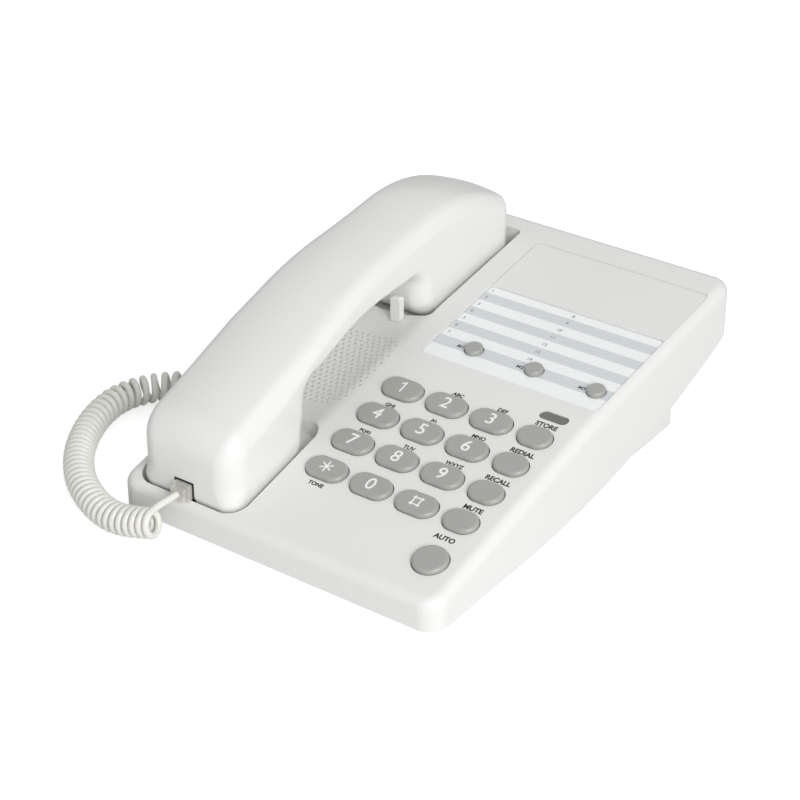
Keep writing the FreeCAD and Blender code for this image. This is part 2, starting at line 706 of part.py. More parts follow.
def handset_section(inset):
    """Closed cross-section of the handset's back: crowned top, bevelled shoulders and straight sides."""
    depth, height = HANDSET_FRONT - 20.0, handset_top()[0][1] - 20.0 * ridge_slope()
    across = math.atan(ridge_slope())
    corners = [
        (-BEVEL_HALF, -75, 0),
        (BEVEL_HALF, -75, 0),
        (BEVEL_HALF, -BEVEL_DROP, 4.0),
        (RIDGE_HALF, 0, 3.5),
        (0, CROWN_CORNER, CROWN_RADIUS),
        (-RIDGE_HALF, 0, 3.5),
        (-BEVEL_HALF, -BEVEL_DROP, 4.0),
    ]

    def to_space(p):
        rise = V(0, -math.sin(across), math.cos(across)) * p.y
        return V(CRADLE_X + p.x, FRONT_Y + depth, height) + rise

    return inset_wire(rounded_wire(corners, to_space), inset)


def handset_top():
    """Corners of the ridge line along the handset's back."""
    return [(HANDSET_FRONT, 34.5, 0), (62.0, TOP_HEIGHT, 196.0), (171.0, TOP_HEIGHT, 122.0), (HANDSET_BACK, 69.2, 0)]


def ridge_slope():
    """Slope of the ridge line at the mouth end."""
    start, turn = handset_top()[:2]
    return (turn[1] - start[1]) / (turn[0] - start[0])


def ridge_path():
    """Path of the ridge line, drawn out past both ends of the handset."""
    first, second, third, last = handset_top()
    start = (first[0] - 20.0, first[1] - 20.0 * ridge_slope())
    fall = (last[1] - third[1]) / (last[0] - third[0])
    end = (last[0] + 20.0, last[1] + 20.0 * fall)
    points = [V(CRADLE_X, FRONT_Y + d, z) for d, z in (start, second[:2], third[:2], end)]
    return Part.Wire(tangent_path(points, (second[2], third[2])))


def tangent_path(points, radii):
    """Straight runs through points, joined by tangent arcs of the given radii."""
    edges = []
    start = points[0]
    for i, radius in enumerate(radii):
        here = points[i + 1]
        back = (points[i] - here).normalize()
        ahead = (points[i + 2] - here).normalize()
        half = back.getAngle(ahead) / 2
        reach = radius / math.tan(half)
        middle = here + (back + ahead).normalize() * (radius / math.sin(half) - radius)
        edges.append(Part.LineSegment(start, here + back * reach).toShape())
        edges.append(Part.Arc(here + back * reach, middle, here + ahead * reach).toShape())
        start = here + ahead * reach
    edges.append(Part.LineSegment(start, points[-1]).toShape())
    return edges


def swept(path, section):
    """Solid made by carrying a closed section along a path."""
    sweep = Part.BRepOffsetAPI.MakePipeShell(path)
    sweep.add(section)
    sweep.build()
    sweep.makeSolid()
    return sweep.shape()


def handset_profile():
    """Side profile of the handset: mouth end, arched handle and ear end."""
    mouth_drop = (MOUTH_POCKET["deep"] - SEAT_GAP) / math.cos(math.radians(KEY_TILT))
    ear_drop = (EAR_POCKET["deep"] - SEAT_GAP) / math.cos(math.radians(CARD_TILT))
    over_crown = 2.6

    def mouth(depth):
        return FRONT_HEIGHT + depth * KEY_SLOPE - mouth_drop

    def ear(depth):
        return BEND_HEIGHT + (depth - BEND_DEPTH) * CARD_SLOPE - ear_drop

    first, second, third, last = handset_top()
    return [
        (HANDSET_FRONT, mouth(HANDSET_FRONT), 5.0),
        (51.0, mouth(51.0), 13.0),
        (55.3, 51.4, 8.0),
        (91.2, 67.7, 115.0),
        (131.5, 67.9, 7.0),
        (135.2, ear(135.2), 9.0),
        (HANDSET_BACK, ear(HANDSET_BACK), 8.0),
        (last[0], last[1] + over_crown, 7.0),
        (third[0], third[1] + over_crown, third[2]),
        (second[0], second[1] + over_crown, second[2]),
        (first[0], first[1] + over_crown, 16.0),
    ]


def handset_body(inset):
    """Whole handset form, or the space inside its walls."""
    plan = [
        (CRADLE_X - MOUTH_HALF, HANDSET_FRONT, HANDSET_CORNER),
        (CRADLE_X + MOUTH_HALF, HANDSET_FRONT, HANDSET_CORNER),
        (CRADLE_X + EAR_HALF, HANDSET_BACK, HANDSET_CORNER),
        (CRADLE_X - EAR_HALF, HANDSET_BACK, HANDSET_CORNER),
    ]
    back = swept(ridge_path(), handset_section(inset))
    side = side_prism(handset_profile(), BEVEL_HALF + 4, CRADLE_X, inset)
    return back.common(side).common(plan_prism(plan, 0, FAR, inset))


def above_seam(raise_by):
    """Space above the seam between the handset's two shells."""
    points = [V(CRADLE_X - 40, FRONT_Y + depth, height + raise_by) for depth, height in SEAM]
    edges = tangent_path(points, SEAM_RADII)
    lid = [points[-1], points[-1] + V(0, 0, FAR), points[0] + V(0, 0, FAR), points[0]]
    edges += [Part.LineSegment(a, b).toShape() for a, b in zip(lid, lid[1:])]
    return Part.Face(Part.Wire(edges)).extrude(V(80, 0, 0))


def handset_frames():
    """Frames on the outer faces of the mouth end and the ear end, with Z pointing into the handset."""
    mouth = KEY_FRAME.multiply(FreeCAD.Placement(V(0, 0, SEAT_GAP - MOUTH_POCKET["deep"]), FreeCAD.Rotation()))
    ear = CARD_FRAME.multiply(FreeCAD.Placement(V(0, 0, SEAT_GAP - EAR_POCKET["deep"]), FreeCAD.Rotation()))
    return mouth, ear


def mouth_place():
    """Place of the microphone on the mouth end's face."""
    return CRADLE_X, MOUTH_PLACE / math.cos(math.radians(KEY_TILT))


def ear_place():
    """Place of the receiver on the ear end's face."""
    return CRADLE_X, (EAR_PLACE - BEND_DEPTH) / math.cos(math.radians(CARD_TILT))


def screw_places():
    """Frame and place of each handset screw."""
    mouth, ear = handset_frames()
    (mouth_x, mouth_depth), (ear_x, ear_depth) = HANDSET_SCREWS
    return (
        (mouth, (mouth_x, mouth_depth / math.cos(math.radians(KEY_TILT)))),
        (ear, (ear_x, (ear_depth - BEND_DEPTH) / math.cos(math.radians(CARD_TILT)))),
    )


def handset_outer_shell(shell):
    """Back half of the handset, with a boss for each screw."""
    shell = shell.common(above_seam(SEAM_GAP))
    inside = handset_body(HANDSET_WALL / 2)
    bosses = []
    for frame, place in screw_places():
        boss = slope_disc(frame, place, 3.4, HANDSET_WALL + 1.2, 60).cut(slope_disc(frame, place, 1.2, 0, 16))
        bosses.append(boss.common(inside))
    return shell.fuse(bosses).removeSplitter()


def handset_inner_shell(shell):
    """Face half of the handset: ear and mouth openings, cord socket and screw recesses."""
    mouth, ear = handset_frames()
    shell = shell.cut(above_seam(0))
    x, v = ear_place()
    cuts = [slope_disc(ear, (x, v), 1.1, -2, 6)]
    for i in range(6):
        turn = math.radians(60 * i)
        cuts.append(slope_disc(ear, (x + 6.5 * math.cos(turn), v + 6.5 * math.sin(turn)), 1.1, -2, 6))
    x, v = mouth_place()
    cuts += [slope_disc(mouth, (x + step, v), 0.8, -2, 6) for step in (-4.0, 0.0, 4.0)]
    seats = []
    for frame, place in screw_places():
        seats.append(slope_disc(frame, place, 4.2, 1.0, HANDSET_WALL + 1.2))
        cuts.append(slope_disc(frame, place, 1.6, -2, 8))
        cuts.append(slope_disc(frame, place, 3.0, -2, 2.0))
    cuts.append(block(PLUG_X, HANDSET_FRONT, PLUG_HEIGHT - HANDSET_JACK[2] / 2 - 0.2, (HANDSET_JACK[0] + 0.4, 30, HANDSET_JACK[2] + 0.4)))
    return shell.fuse(seats).cut(cuts).removeSplitter()


def handset_socket():
    """Cord socket in the mouth end of the handset."""
    jack = modular_jack(HANDSET_JACK, PLUG_MOUTH, 11.2)
    return placed(jack, PLUG_X, HANDSET_FRONT + 0.2, PLUG_HEIGHT - HANDSET_JACK[2] / 2, 180)


def receiver_capsule():
    """Earphone capsule behind the ear end's holes."""
    frame = handset_frames()[1]
    rim = slope_disc(frame, ear_place(), 15.0, HANDSET_WALL + 1.0, HANDSET_WALL + 5.0)
    return rim.fuse(slope_disc(frame, ear_place(), 10.0, HANDSET_WALL + 5.0, HANDSET_WALL + 10.0)).removeSplitter()


def receiver_gasket():
    """Soft ring between the receiver and the shell."""
    frame = handset_frames()[1]
    ring = slope_disc(frame, ear_place(), 14.6, HANDSET_WALL, HANDSET_WALL + 1.0)
    return ring.cut(slope_disc(frame, ear_place(), 11.0, 0, 9))


def microphone():
    """Microphone capsule behind the mouth end's holes."""
    frame = handset_frames()[0]
    return slope_disc(frame, mouth_place(), 4.8, HANDSET_WALL + 1.0, HANDSET_WALL + 7.5)


def microphone_boot():
    """Rubber cup that holds the microphone against the shell."""
    frame = handset_frames()[0]
    cup = slope_disc(frame, mouth_place(), 6.6, HANDSET_WALL, HANDSET_WALL + 6.5)
    return cup.cut(slope_disc(frame, mouth_place(), 4.8, 0, 20))


def handset_weight():
    """Ballast that gives the handset its weight on the hook, held in the handle's arch."""
    return block(CRADLE_X, 119.0, 71.0, (26.0, 24.0, 5.6))


def handset_screws():
    """Screws that hold the handset's two shells together."""
    screws = []
    for frame, place in screw_places():
        head = slope_disc(frame, place, 2.7, 0.4, 2.0)
        screws.append(head.fuse(slope_disc(frame, place, 1.15, 2.0, 11.0)).removeSplitter())
    return Part.makeCompound(screws)


def route_points(route):
    """Points of a route in space."""
    return [V(x, FRONT_Y + depth, height) for x, depth, height in route]


def route_radii(points):
    """Largest even arc at each turn of a route."""
    radii = []
    for before, here, after in zip(points, points[1:], points[2:]):
        turn = math.pi - (before - here).getAngle(after - here)
        run = min((before - here).Length, (after - here).Length)
        radii.append(0.45 * run / math.tan(turn / 2))
    return radii


def along(edges, distance):
    """Point and direction at a distance along a chain of edges."""
    for edge in edges:
        if distance <= edge.Length or edge is edges[-1]:
            at = edge.getParameterByLength(min(distance, edge.Length))
            return edge.valueAt(at), edge.tangentAt(at)
        distance -= edge.Length


def curl_distance(turn):
    """Distance along the middle line after a number of turns: close curls first, then opening ones."""
    opening = max(turn - OPENING_FROM, 0) ** 2 / (2 * (CURL_COUNT - OPENING_FROM))
    return CLOSED_PITCH * turn + (OPEN_PITCH - CLOSED_PITCH) * opening


def curl_point(edges, turn):
    """Point of the curls' own centre line after a number of turns, starting at the top of the first."""
    centre, ahead = along(edges, curl_distance(turn))
    side = V(0, 0, 1).cross(ahead).normalize()
    up = ahead.cross(side)
    angle = math.pi / 2 - 2 * math.pi * turn
    return centre + side * (CURL_RADIUS * math.cos(angle)) + up * (CURL_RADIUS * math.sin(angle))


def biarc(start, start_way, end, end_way):
    """Two tangent arcs from one point and direction to another."""
    gap = end - start
    both = start_way + end_way
    spread = 2 * (1 - start_way.dot(end_way))
    lean = gap.dot(both)
    reach = (math.sqrt(lean ** 2 + spread * gap.dot(gap)) - lean) / spread
    first, second = start + start_way * reach, end - end_way * reach
    joint = (first + second) * 0.5
    return [tangent_arc(start, first, joint), tangent_arc(joint, second, end)]


def tangent_arc(start, corner, end):
    """Arc from start to end whose tangents meet at a corner."""
    turn = (corner - start).getAngle(end - corner)
    chord_middle = (start + end) * 0.5
    rise = (end - start).Length / 2 * math.tan(turn / 4)
    return Part.Arc(start, chord_middle + (corner - chord_middle).normalize() * rise, end).toShape()


def curl_line():
    """Centre line of all the curls as biarcs of a quarter turn, with a short straight run at each end."""
    axis = tangent_path(route_points(CURL_ROUTE), route_radii(route_points(CURL_ROUTE)))
    print("curls use", round(curl_distance(CURL_COUNT - 0.5), 1), "of", round(sum(edge.Length for edge in axis), 1))
    step = 1e-3
    points = []
    ways = []
    for i in range(4 * CURL_COUNT - 1):
        turn = i / 4
        points.append(curl_point(axis, turn))
        low, high = max(turn - step, 0), turn + step
        ways.append((curl_point(axis, high) - curl_point(axis, low)).normalize())
    edges = [Part.LineSegment(points[0] - ways[0] * CORD, points[0]).toShape()]
    for i in range(len(points) - 1):
        edges += biarc(points[i], ways[i], points[i + 1], ways[i + 1])
    edges.append(Part.LineSegment(points[-1], points[-1] + ways[-1] * CORD).toShape())
    report_gap(axis)
    return edges


def report_gap(axis):
    """Print the least gap between neighbouring curls, measured on points."""
    per_turn = 24
    dots = [curl_point(axis, i / per_turn) for i in range(per_turn * CURL_COUNT)]
    least = FAR
    for i, dot in enumerate(dots):
        for other in dots[i + per_turn // 2: i + 3 * per_turn // 2]:
            least = min(least, (dot - other).Length)
    print("least gap between curls", round(least - CORD, 2))


def tube(edges):
    """Round cord along a chain of edges."""
    start = edges[0].valueAt(edges[0].FirstParameter)
    way = edges[0].tangentAt(edges[0].FirstParameter)
    ring = Part.Wire(Part.makeCircle(CORD / 2, start, way))
    return swept(Part.Wire(edges), ring)


def tail(name, points):
    """Straight end of the cord along a route, with its radii and volume printed."""
    radii = route_radii(points)
    edges = tangent_path(points, radii)
    solid = tube(edges)
    length = sum(edge.Length for edge in edges)
    plain = math.pi * CORD ** 2 / 4 * length
    print(name, "radii", [round(r, 1) for r in radii], "length", round(length, 1), "volume", round(solid.Volume / plain, 4))
    return solid


def cord_pieces():
    """Plugs, straight tails and curls of the handset cord."""
    edges = curl_line()
    solid = tube(edges)
    length = sum(edge.Length for edge in edges)
    print("curls", "length", round(length, 1), "volume", round(solid.Volume / (math.pi * CORD ** 2 / 4 * length), 4))
    start = edges[0].valueAt(edges[0].FirstParameter)
    way_in = edges[0].tangentAt(edges[0].FirstParameter)
    end = edges[-1].valueAt(edges[-1].LastParameter)
    way = edges[-1].tangentAt(edges[-1].LastParameter)
    plug_back = V(PLUG_X, FRONT_Y + PLUG_DEPTH - 2.0, PLUG_HEIGHT)
    front = [plug_back, plug_back + V(0, -4.0, 0), start - way_in * 3.0, start]
    jack_back = V(-SIDE_X - 3.0 - 2.0, FRONT_Y + JACK_DEPTH, JACK_HEIGHT)
    back = [end, end + way * 6.0, jack_back + V(-13.0, 0.6, -5.6), jack_back + V(-6.0, 0, 0), jack_back]
    return {
        "handset_plug": placed(modular_plug(), PLUG_X, PLUG_DEPTH, PLUG_HEIGHT, 180),
        "cord_handset_tail": tail("handset tail", front),
        "handset_cord_coil": solid,
        "cord_base_tail": tail("base tail", back),
        "base_plug": placed(modular_plug(), -SIDE_X - 3.0, JACK_DEPTH, JACK_HEIGHT, 90),
    }


def hook_spring():
    """Compression spring under the hook plunger."""
    wire = 0.6
    radius = 2.6
    low, high = SPRING_SEAT + wire, HOOK_FLANGE - 0.3 - wire
    turns = 5
    points = []
    ways = []
    for i in range(4 * turns + 1):
        angle = math.pi / 2 * i
        height = low + (high - low) * i / (4 * turns)
        points.append(V(HOOK_X + radius * math.cos(angle), FRONT_Y + HOOK_DEPTH + radius * math.sin(angle), height))
        climb = (high - low) / turns
        ways.append(V(-2 * math.pi * radius * math.sin(angle), 2 * math.pi * radius * math.cos(angle), climb).normalize())
    edges = []
    for i in range(len(points) - 1):
        edges += biarc(points[i], ways[i], points[i + 1], ways[i + 1])
    return swept(Part.Wire(edges), Part.Wire(Part.makeCircle(wire / 2, points[0], ways[0])))


def phone():
    """Every piece of the telephone under its own name."""
    outer = base_block()
    shell = handset_body(0).cut(handset_body(HANDSET_WALL))
    cover = base_top_cover(outer)
    pieces = {
        "base_top_cover": cover.cut(grille_window(GRILLE_GAP)).removeSplitter(),
        "speaker_grille": speaker_grille(cover),
        "base_bottom_cover": base_bottom_cover(outer),
        "rear_stand": rear_stand(outer),
        "rubber_feet": rubber_feet(),
        "case_screws": case_screws(),
        "keypad_board": keypad_board(),
        "keypad_mat": keypad_mat(),
        "memory_mat": memory_mat(),
        "line_board": line_board(),
        "ringer_speaker": ringer_speaker(),
        "index_card": index_card(),
        "card_cover": card_cover(),
        "message_lamp_lens": message_lamp_lens(),
        "message_lamp_led": message_lamp_led(),
        "hook_plunger": hook_plunger(),
        "hook_spring": hook_spring(),
        "hook_switch": hook_switch(),
        "handset_jack": handset_jack(),
        "line_jack": line_jack(),
        "handset_outer_shell": handset_outer_shell(shell),
        "handset_inner_shell": handset_inner_shell(shell),
        "handset_socket": handset_socket(),
        "receiver_capsule": receiver_capsule(),
        "receiver_gasket": receiver_gasket(),
        "microphone": microphone(),
        "microphone_boot": microphone_boot(),
        "handset_weight": handset_weight(),
        "handset_screws": handset_screws(),
    }
    for name, (frame, place, size, proud) in key_places().items():
        pieces[name] = key(frame, place, size, proud)
    pieces.update(cord_pieces())
    return pieces


def main():
    """Write every piece to its own file."""
    os.makedirs("parts", exist_ok=True)
    for name, shape in phone().items():
        shape.exportStep("parts/" + name + ".step")
        print(name, len(shape.Solids), shape.isValid(), round(shape.Volume))


main()
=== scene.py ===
"""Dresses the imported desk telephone: moulded plastics, printed legends, ruled card and curly cord.

Lengths in the size fields are millimetres, apart from the cord's and the studio's, which are metres. X runs
to the right, Y to the back and Z up, from the middle of the base's footprint on the table.
"""
from __future__ import annotations

import json
import logging
import math
from dataclasses import dataclass, field
from enum import Enum

import bmesh
import bpy
import numpy as np
from mathutils import Matrix, Vector

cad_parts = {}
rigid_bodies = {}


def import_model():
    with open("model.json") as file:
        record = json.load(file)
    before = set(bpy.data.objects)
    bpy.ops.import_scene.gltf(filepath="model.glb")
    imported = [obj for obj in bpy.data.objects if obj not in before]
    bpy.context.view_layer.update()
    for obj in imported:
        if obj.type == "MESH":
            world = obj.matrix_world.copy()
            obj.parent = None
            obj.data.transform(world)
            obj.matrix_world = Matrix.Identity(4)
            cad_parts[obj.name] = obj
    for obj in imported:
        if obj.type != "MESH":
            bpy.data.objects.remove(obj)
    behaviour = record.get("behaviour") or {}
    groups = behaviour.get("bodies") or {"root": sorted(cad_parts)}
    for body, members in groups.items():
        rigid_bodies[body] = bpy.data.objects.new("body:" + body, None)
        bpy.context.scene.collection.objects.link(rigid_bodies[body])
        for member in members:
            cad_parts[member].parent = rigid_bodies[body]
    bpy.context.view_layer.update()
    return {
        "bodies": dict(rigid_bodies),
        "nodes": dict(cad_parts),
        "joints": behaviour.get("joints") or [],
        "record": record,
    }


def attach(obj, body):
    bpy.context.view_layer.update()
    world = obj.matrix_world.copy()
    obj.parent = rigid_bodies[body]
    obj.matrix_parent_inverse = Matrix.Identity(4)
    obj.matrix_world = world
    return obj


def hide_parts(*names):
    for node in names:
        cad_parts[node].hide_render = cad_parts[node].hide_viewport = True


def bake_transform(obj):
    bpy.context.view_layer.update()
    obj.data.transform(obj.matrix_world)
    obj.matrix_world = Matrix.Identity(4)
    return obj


LOG = logging.getLogger("telephone")
MM = 0.001
# Depths are counted from the base's front edge, which lies at this Y in millimetres
FRONT_EDGE = -107.5
# Sockets of Blender's Mix node while it mixes colours
MIX_SHARE, MIX_FIRST, MIX_SECOND, MIX_RESULT = 0, 6, 7, 2
# Corner numbers of a four-sided prism, its lower ring first
PRISM_FACES = np.array([[3, 2, 1, 0], [4, 5, 6, 7], [0, 1, 5, 4], [1, 2, 6, 5], [2, 3, 7, 6], [3, 0, 4, 7]])
# Corner numbers of a box whose corners are counted by x, then y, then z
BOX_FACES = np.array([[0, 1, 3, 2], [4, 6, 7, 5], [0, 4, 5, 1], [2, 3, 7, 6], [0, 2, 6, 4], [1, 5, 7, 3]])

Place = tuple[float, float, float]


def linear(code: str) -> tuple[float, float, float, float]:
    """Turn an sRGB hex colour into a linear one.

    Args:
        code: Six hex digits after a hash sign.

    Returns:
        Linear red, green, blue and an alpha of one.
    """
    parts = [int(code[i:i + 2], 16) / 255 for i in (1, 3, 5)]
    red, green, blue = (c / 12.92 if c <= 0.04045 else ((c + 0.055) / 1.055) ** 2.4 for c in parts)
    return red, green, blue, 1.0


def unit(rows: np.ndarray) -> np.ndarray:
    """Vectors of the same directions, each divided by its length."""
    return rows / np.linalg.norm(rows, axis=-1, keepdims=True)


def bell(width: int) -> np.ndarray:
    """Smoothing weights in a raised cosine, which add up to one."""
    weights = np.hanning(width + 2)[1:-1]
    return weights / weights.sum()


def quadratic(first: np.ndarray, pull: np.ndarray, last: np.ndarray, share: np.ndarray) -> np.ndarray:
    """Quadratic curve from first to last that bends towards pull, at each share of the way."""
    return (1 - share) ** 2 * first + 2 * share * (1 - share) * pull + share ** 2 * last


def add_node(
    tree: bpy.types.NodeTree, kind: str, settings: dict | None = None, links: dict | None = None
) -> bpy.types.Node:
    """Add one node to a tree.

    Args:
        tree: Node tree that takes the node.
        kind: Blender's name for the node type.
        settings: Socket names with values, or attribute names that start with a dot.
        links: Socket names with the output sockets that feed them.

    Returns:
        The new node.
    """
    made = tree.nodes.new(kind)
    for name, value in (settings or {}).items():
        if name.startswith("."):
            setattr(made, name[1:], value)
        else:
            made.inputs[name].default_value = value
    for name, source in (links or {}).items():
        tree.links.new(source, made.inputs[name])
    return made


def add_object(name: str, data: bpy.types.ID) -> bpy.types.Object:
    """Add an object to the scene.

    Args:
        name: Name of the object.
        data: Its mesh, curve, lamp or camera.

    Returns:
        The new object.
    """
    made = bpy.data.objects.new(name, data)
    bpy.context.collection.objects.link(made)
    return made


def mesh_of_curve(curve: bpy.types.Curve) -> bpy.types.Mesh:
    """Turn a curve or a text into a mesh, and remove it.

    Args:
        curve: The curve or text.

    Returns:
        The mesh.
    """
    holder = add_object(curve.name, curve)
    bpy.context.view_layer.update()
    mesh = bpy.data.meshes.new_from_object(holder.evaluated_get(bpy.context.evaluated_depsgraph_get()))
    bpy.data.objects.remove(holder)
    bpy.data.curves.remove(curve)
    return mesh


def corners_of(mesh: bpy.types.Mesh) -> np.ndarray:
    """Read a mesh's corners.

    Args:
        mesh: The mesh.

    Returns:
        Its corners, one row each.
    """
    spots = np.empty(len(mesh.vertices) * 3)
    mesh.vertices.foreach_get("co", spots)
    return spots.reshape(-1, 3)


class Slope(Enum):
    """The two sloping planes of the base's top: start depth, start height and tilt in degrees."""

    KEYPAD = (0.0, 13.3, math.degrees(math.atan(25.1 / 105.6)))
    CARD = (105.6, 38.4, 9.0)

    def matrix(self, x: float, up: float, rise: float) -> Matrix:
        """Place of a flat drawing on this slope.

        Args:
            x: Millimetres to the right.
            up: Millimetres up the slope from its front edge.
            rise: Millimetres square out of the slope.

        Returns:
            Matrix from drawing millimetres to metres in the object's frame.
        """
        depth, height, tilt = self.value
        turn = math.radians(tilt)
        lie = Vector((0, math.cos(turn), math.sin(turn)))
        out = Vector((0, -math.sin(turn), math.cos(turn)))
        place = Vector((x, FRONT_EDGE + depth, height)) + lie * up + out * rise
        columns = (Vector((1, 0, 0)), lie, out, place)
        rows = [[column[i] * MM for column in columns] for i in range(3)]
        return Matrix((*rows, (0, 0, 0, 1)))


@dataclass(frozen=True)
class Finish:
    """A moulded or printed surface: a colour that drifts slightly, a gloss and a fine grain.

    Sizes are millimetres. The grain of a moulding is finer than a pixel here, so it is drawn a little
    coarser than on the real part, to show as a soft break in the highlights. A faceted finish takes its
    shading from the flat faces, for a sheet whose solid would otherwise shade as if it were curved.
    """

    name: str
    colour: str
    drift: str
    roughness: float
    grain: float = 0.8
    grain_height: float = 0.01
    drift_size: float = 40.0
    ior: float = 1.5
    metallic: float = 0.0
    alpha: float = 1.0
    coat: float = 0.0
    faceted: bool = False
    drift_detail: float = 3.0
    grain_detail: float = 2.0
    grain_strength: float = 0.35
    gloss_drift: float = 0.04
    coat_roughness: float = 0.12

    def colour_source(self, tree: bpy.types.NodeTree, place: bpy.types.NodeSocket) -> bpy.types.NodeSocket:
        """Colour output: two near colours mixed by a broad noise.

        Args:
            tree: Material's node tree.
            place: Coordinate output in metres.

        Returns:
            Colour socket for the shader.
        """
        broad = {"Scale": 1 / (self.drift_size * MM), "Detail": self.drift_detail}
        cloud = add_node(tree, "ShaderNodeTexNoise", broad, {"Vector": place})
        mix = add_node(tree, "ShaderNodeMix", {".data_type": "RGBA"})
        mix.inputs[MIX_FIRST].default_value = linear(self.colour)
        mix.inputs[MIX_SECOND].default_value = linear(self.drift)
        tree.links.new(cloud.outputs["Fac"], mix.inputs[MIX_SHARE])
        return mix.outputs[MIX_RESULT]

    def material(self) -> bpy.types.Material:
        """Material with this finish, made once.

        Returns:
            The material.
        """
        old = bpy.data.materials.get(self.name)
        if old is not None:
            return old
        made = bpy.data.materials.new(self.name)
        made.use_nodes = True
        tree = made.node_tree
        tree.nodes.clear()
        place = add_node(tree, "ShaderNodeTexCoord").outputs["Object"]
        fine = {"Scale": 1 / (self.grain * MM), "Detail": self.grain_detail}
        grain = add_node(tree, "ShaderNodeTexNoise", fine, {"Vector": place}).outputs["Fac"]
        relief = {"Strength": self.grain_strength, "Distance": self.grain_height * MM}
        bump = add_node(tree, "ShaderNodeBump", relief, {"Height": grain})
        if self.faceted:
            flat = add_node(tree, "ShaderNodeNewGeometry").outputs["True Normal"]
            tree.links.new(flat, bump.inputs["Normal"])
        span = {"To Min": self.roughness - self.gloss_drift, "To Max": self.roughness + self.gloss_drift}
        gloss = add_node(tree, "ShaderNodeMapRange", span, {"Value": grain})
        constants = {
            "IOR": self.ior,
            "Metallic": self.metallic,
            "Alpha": self.alpha,
            "Coat Weight": self.coat,
            "Coat Roughness": self.coat_roughness,
        }
        sources = {
            "Base Color": self.colour_source(tree, place),
            "Normal": bump.outputs["Normal"],
            "Roughness": gloss.outputs["Result"],
        }
        shader = add_node(tree, "ShaderNodeBsdfPrincipled", constants, sources)
        add_node(tree, "ShaderNodeOutputMaterial", None, {"Surface": shader.outputs["BSDF"]})
        return made


@dataclass(frozen=True)
class RuledCard(Finish):
    """Printed card: bands across it, white and pale blue-grey in turn.

    The edges of the bands are millimetres up the slope.
    """

    band: str = "#D3D9DC"
    edges: tuple[float, ...] = (6.6, 14.9, 21.0, 26.6, 32.1, 37.6, 43.1, 48.6, 54.1, 59.0)

    def colour_source(self, tree: bpy.types.NodeTree, place: bpy.types.NodeSocket) -> bpy.types.NodeSocket:
        """Colour output: steps along the direction up the card.

        Args:
            tree: Material's node tree.
            place: Coordinate output in metres.

        Returns:
            Colour socket for the shader.
        """
        depth, height, tilt = Slope.CARD.value
        turn = math.radians(tilt)
        lie = (0.0, math.cos(turn), math.sin(turn))
        start = ((FRONT_EDGE + depth) * lie[1] + height * lie[2]) * MM
        along = add_node(tree, "ShaderNodeVectorMath", {".operation": "DOT_PRODUCT"}, {0: place})
        along.inputs[1].default_value = lie
        low, high = self.edges[0], self.edges[-1]
        span = {"From Min": start + low * MM, "From Max": start + high * MM}
        share = add_node(tree, "ShaderNodeMapRange", span, {"Value": along.outputs["Value"]})
        ramp = add_node(tree, "ShaderNodeValToRGB", None, {"Fac": share.outputs["Result"]})
        stops = ramp.color_ramp
        stops.interpolation = "CONSTANT"
        ready = len(stops.elements)
        for i, edge in enumerate(self.edges[:-1]):
            where = (edge - low) / (high - low)
            stop = stops.elements[i] if i < ready else stops.elements.new(where)
            stop.position = where
            stop.color = linear(self.band if i % 2 else self.colour)
        return ramp.outputs["Color"]


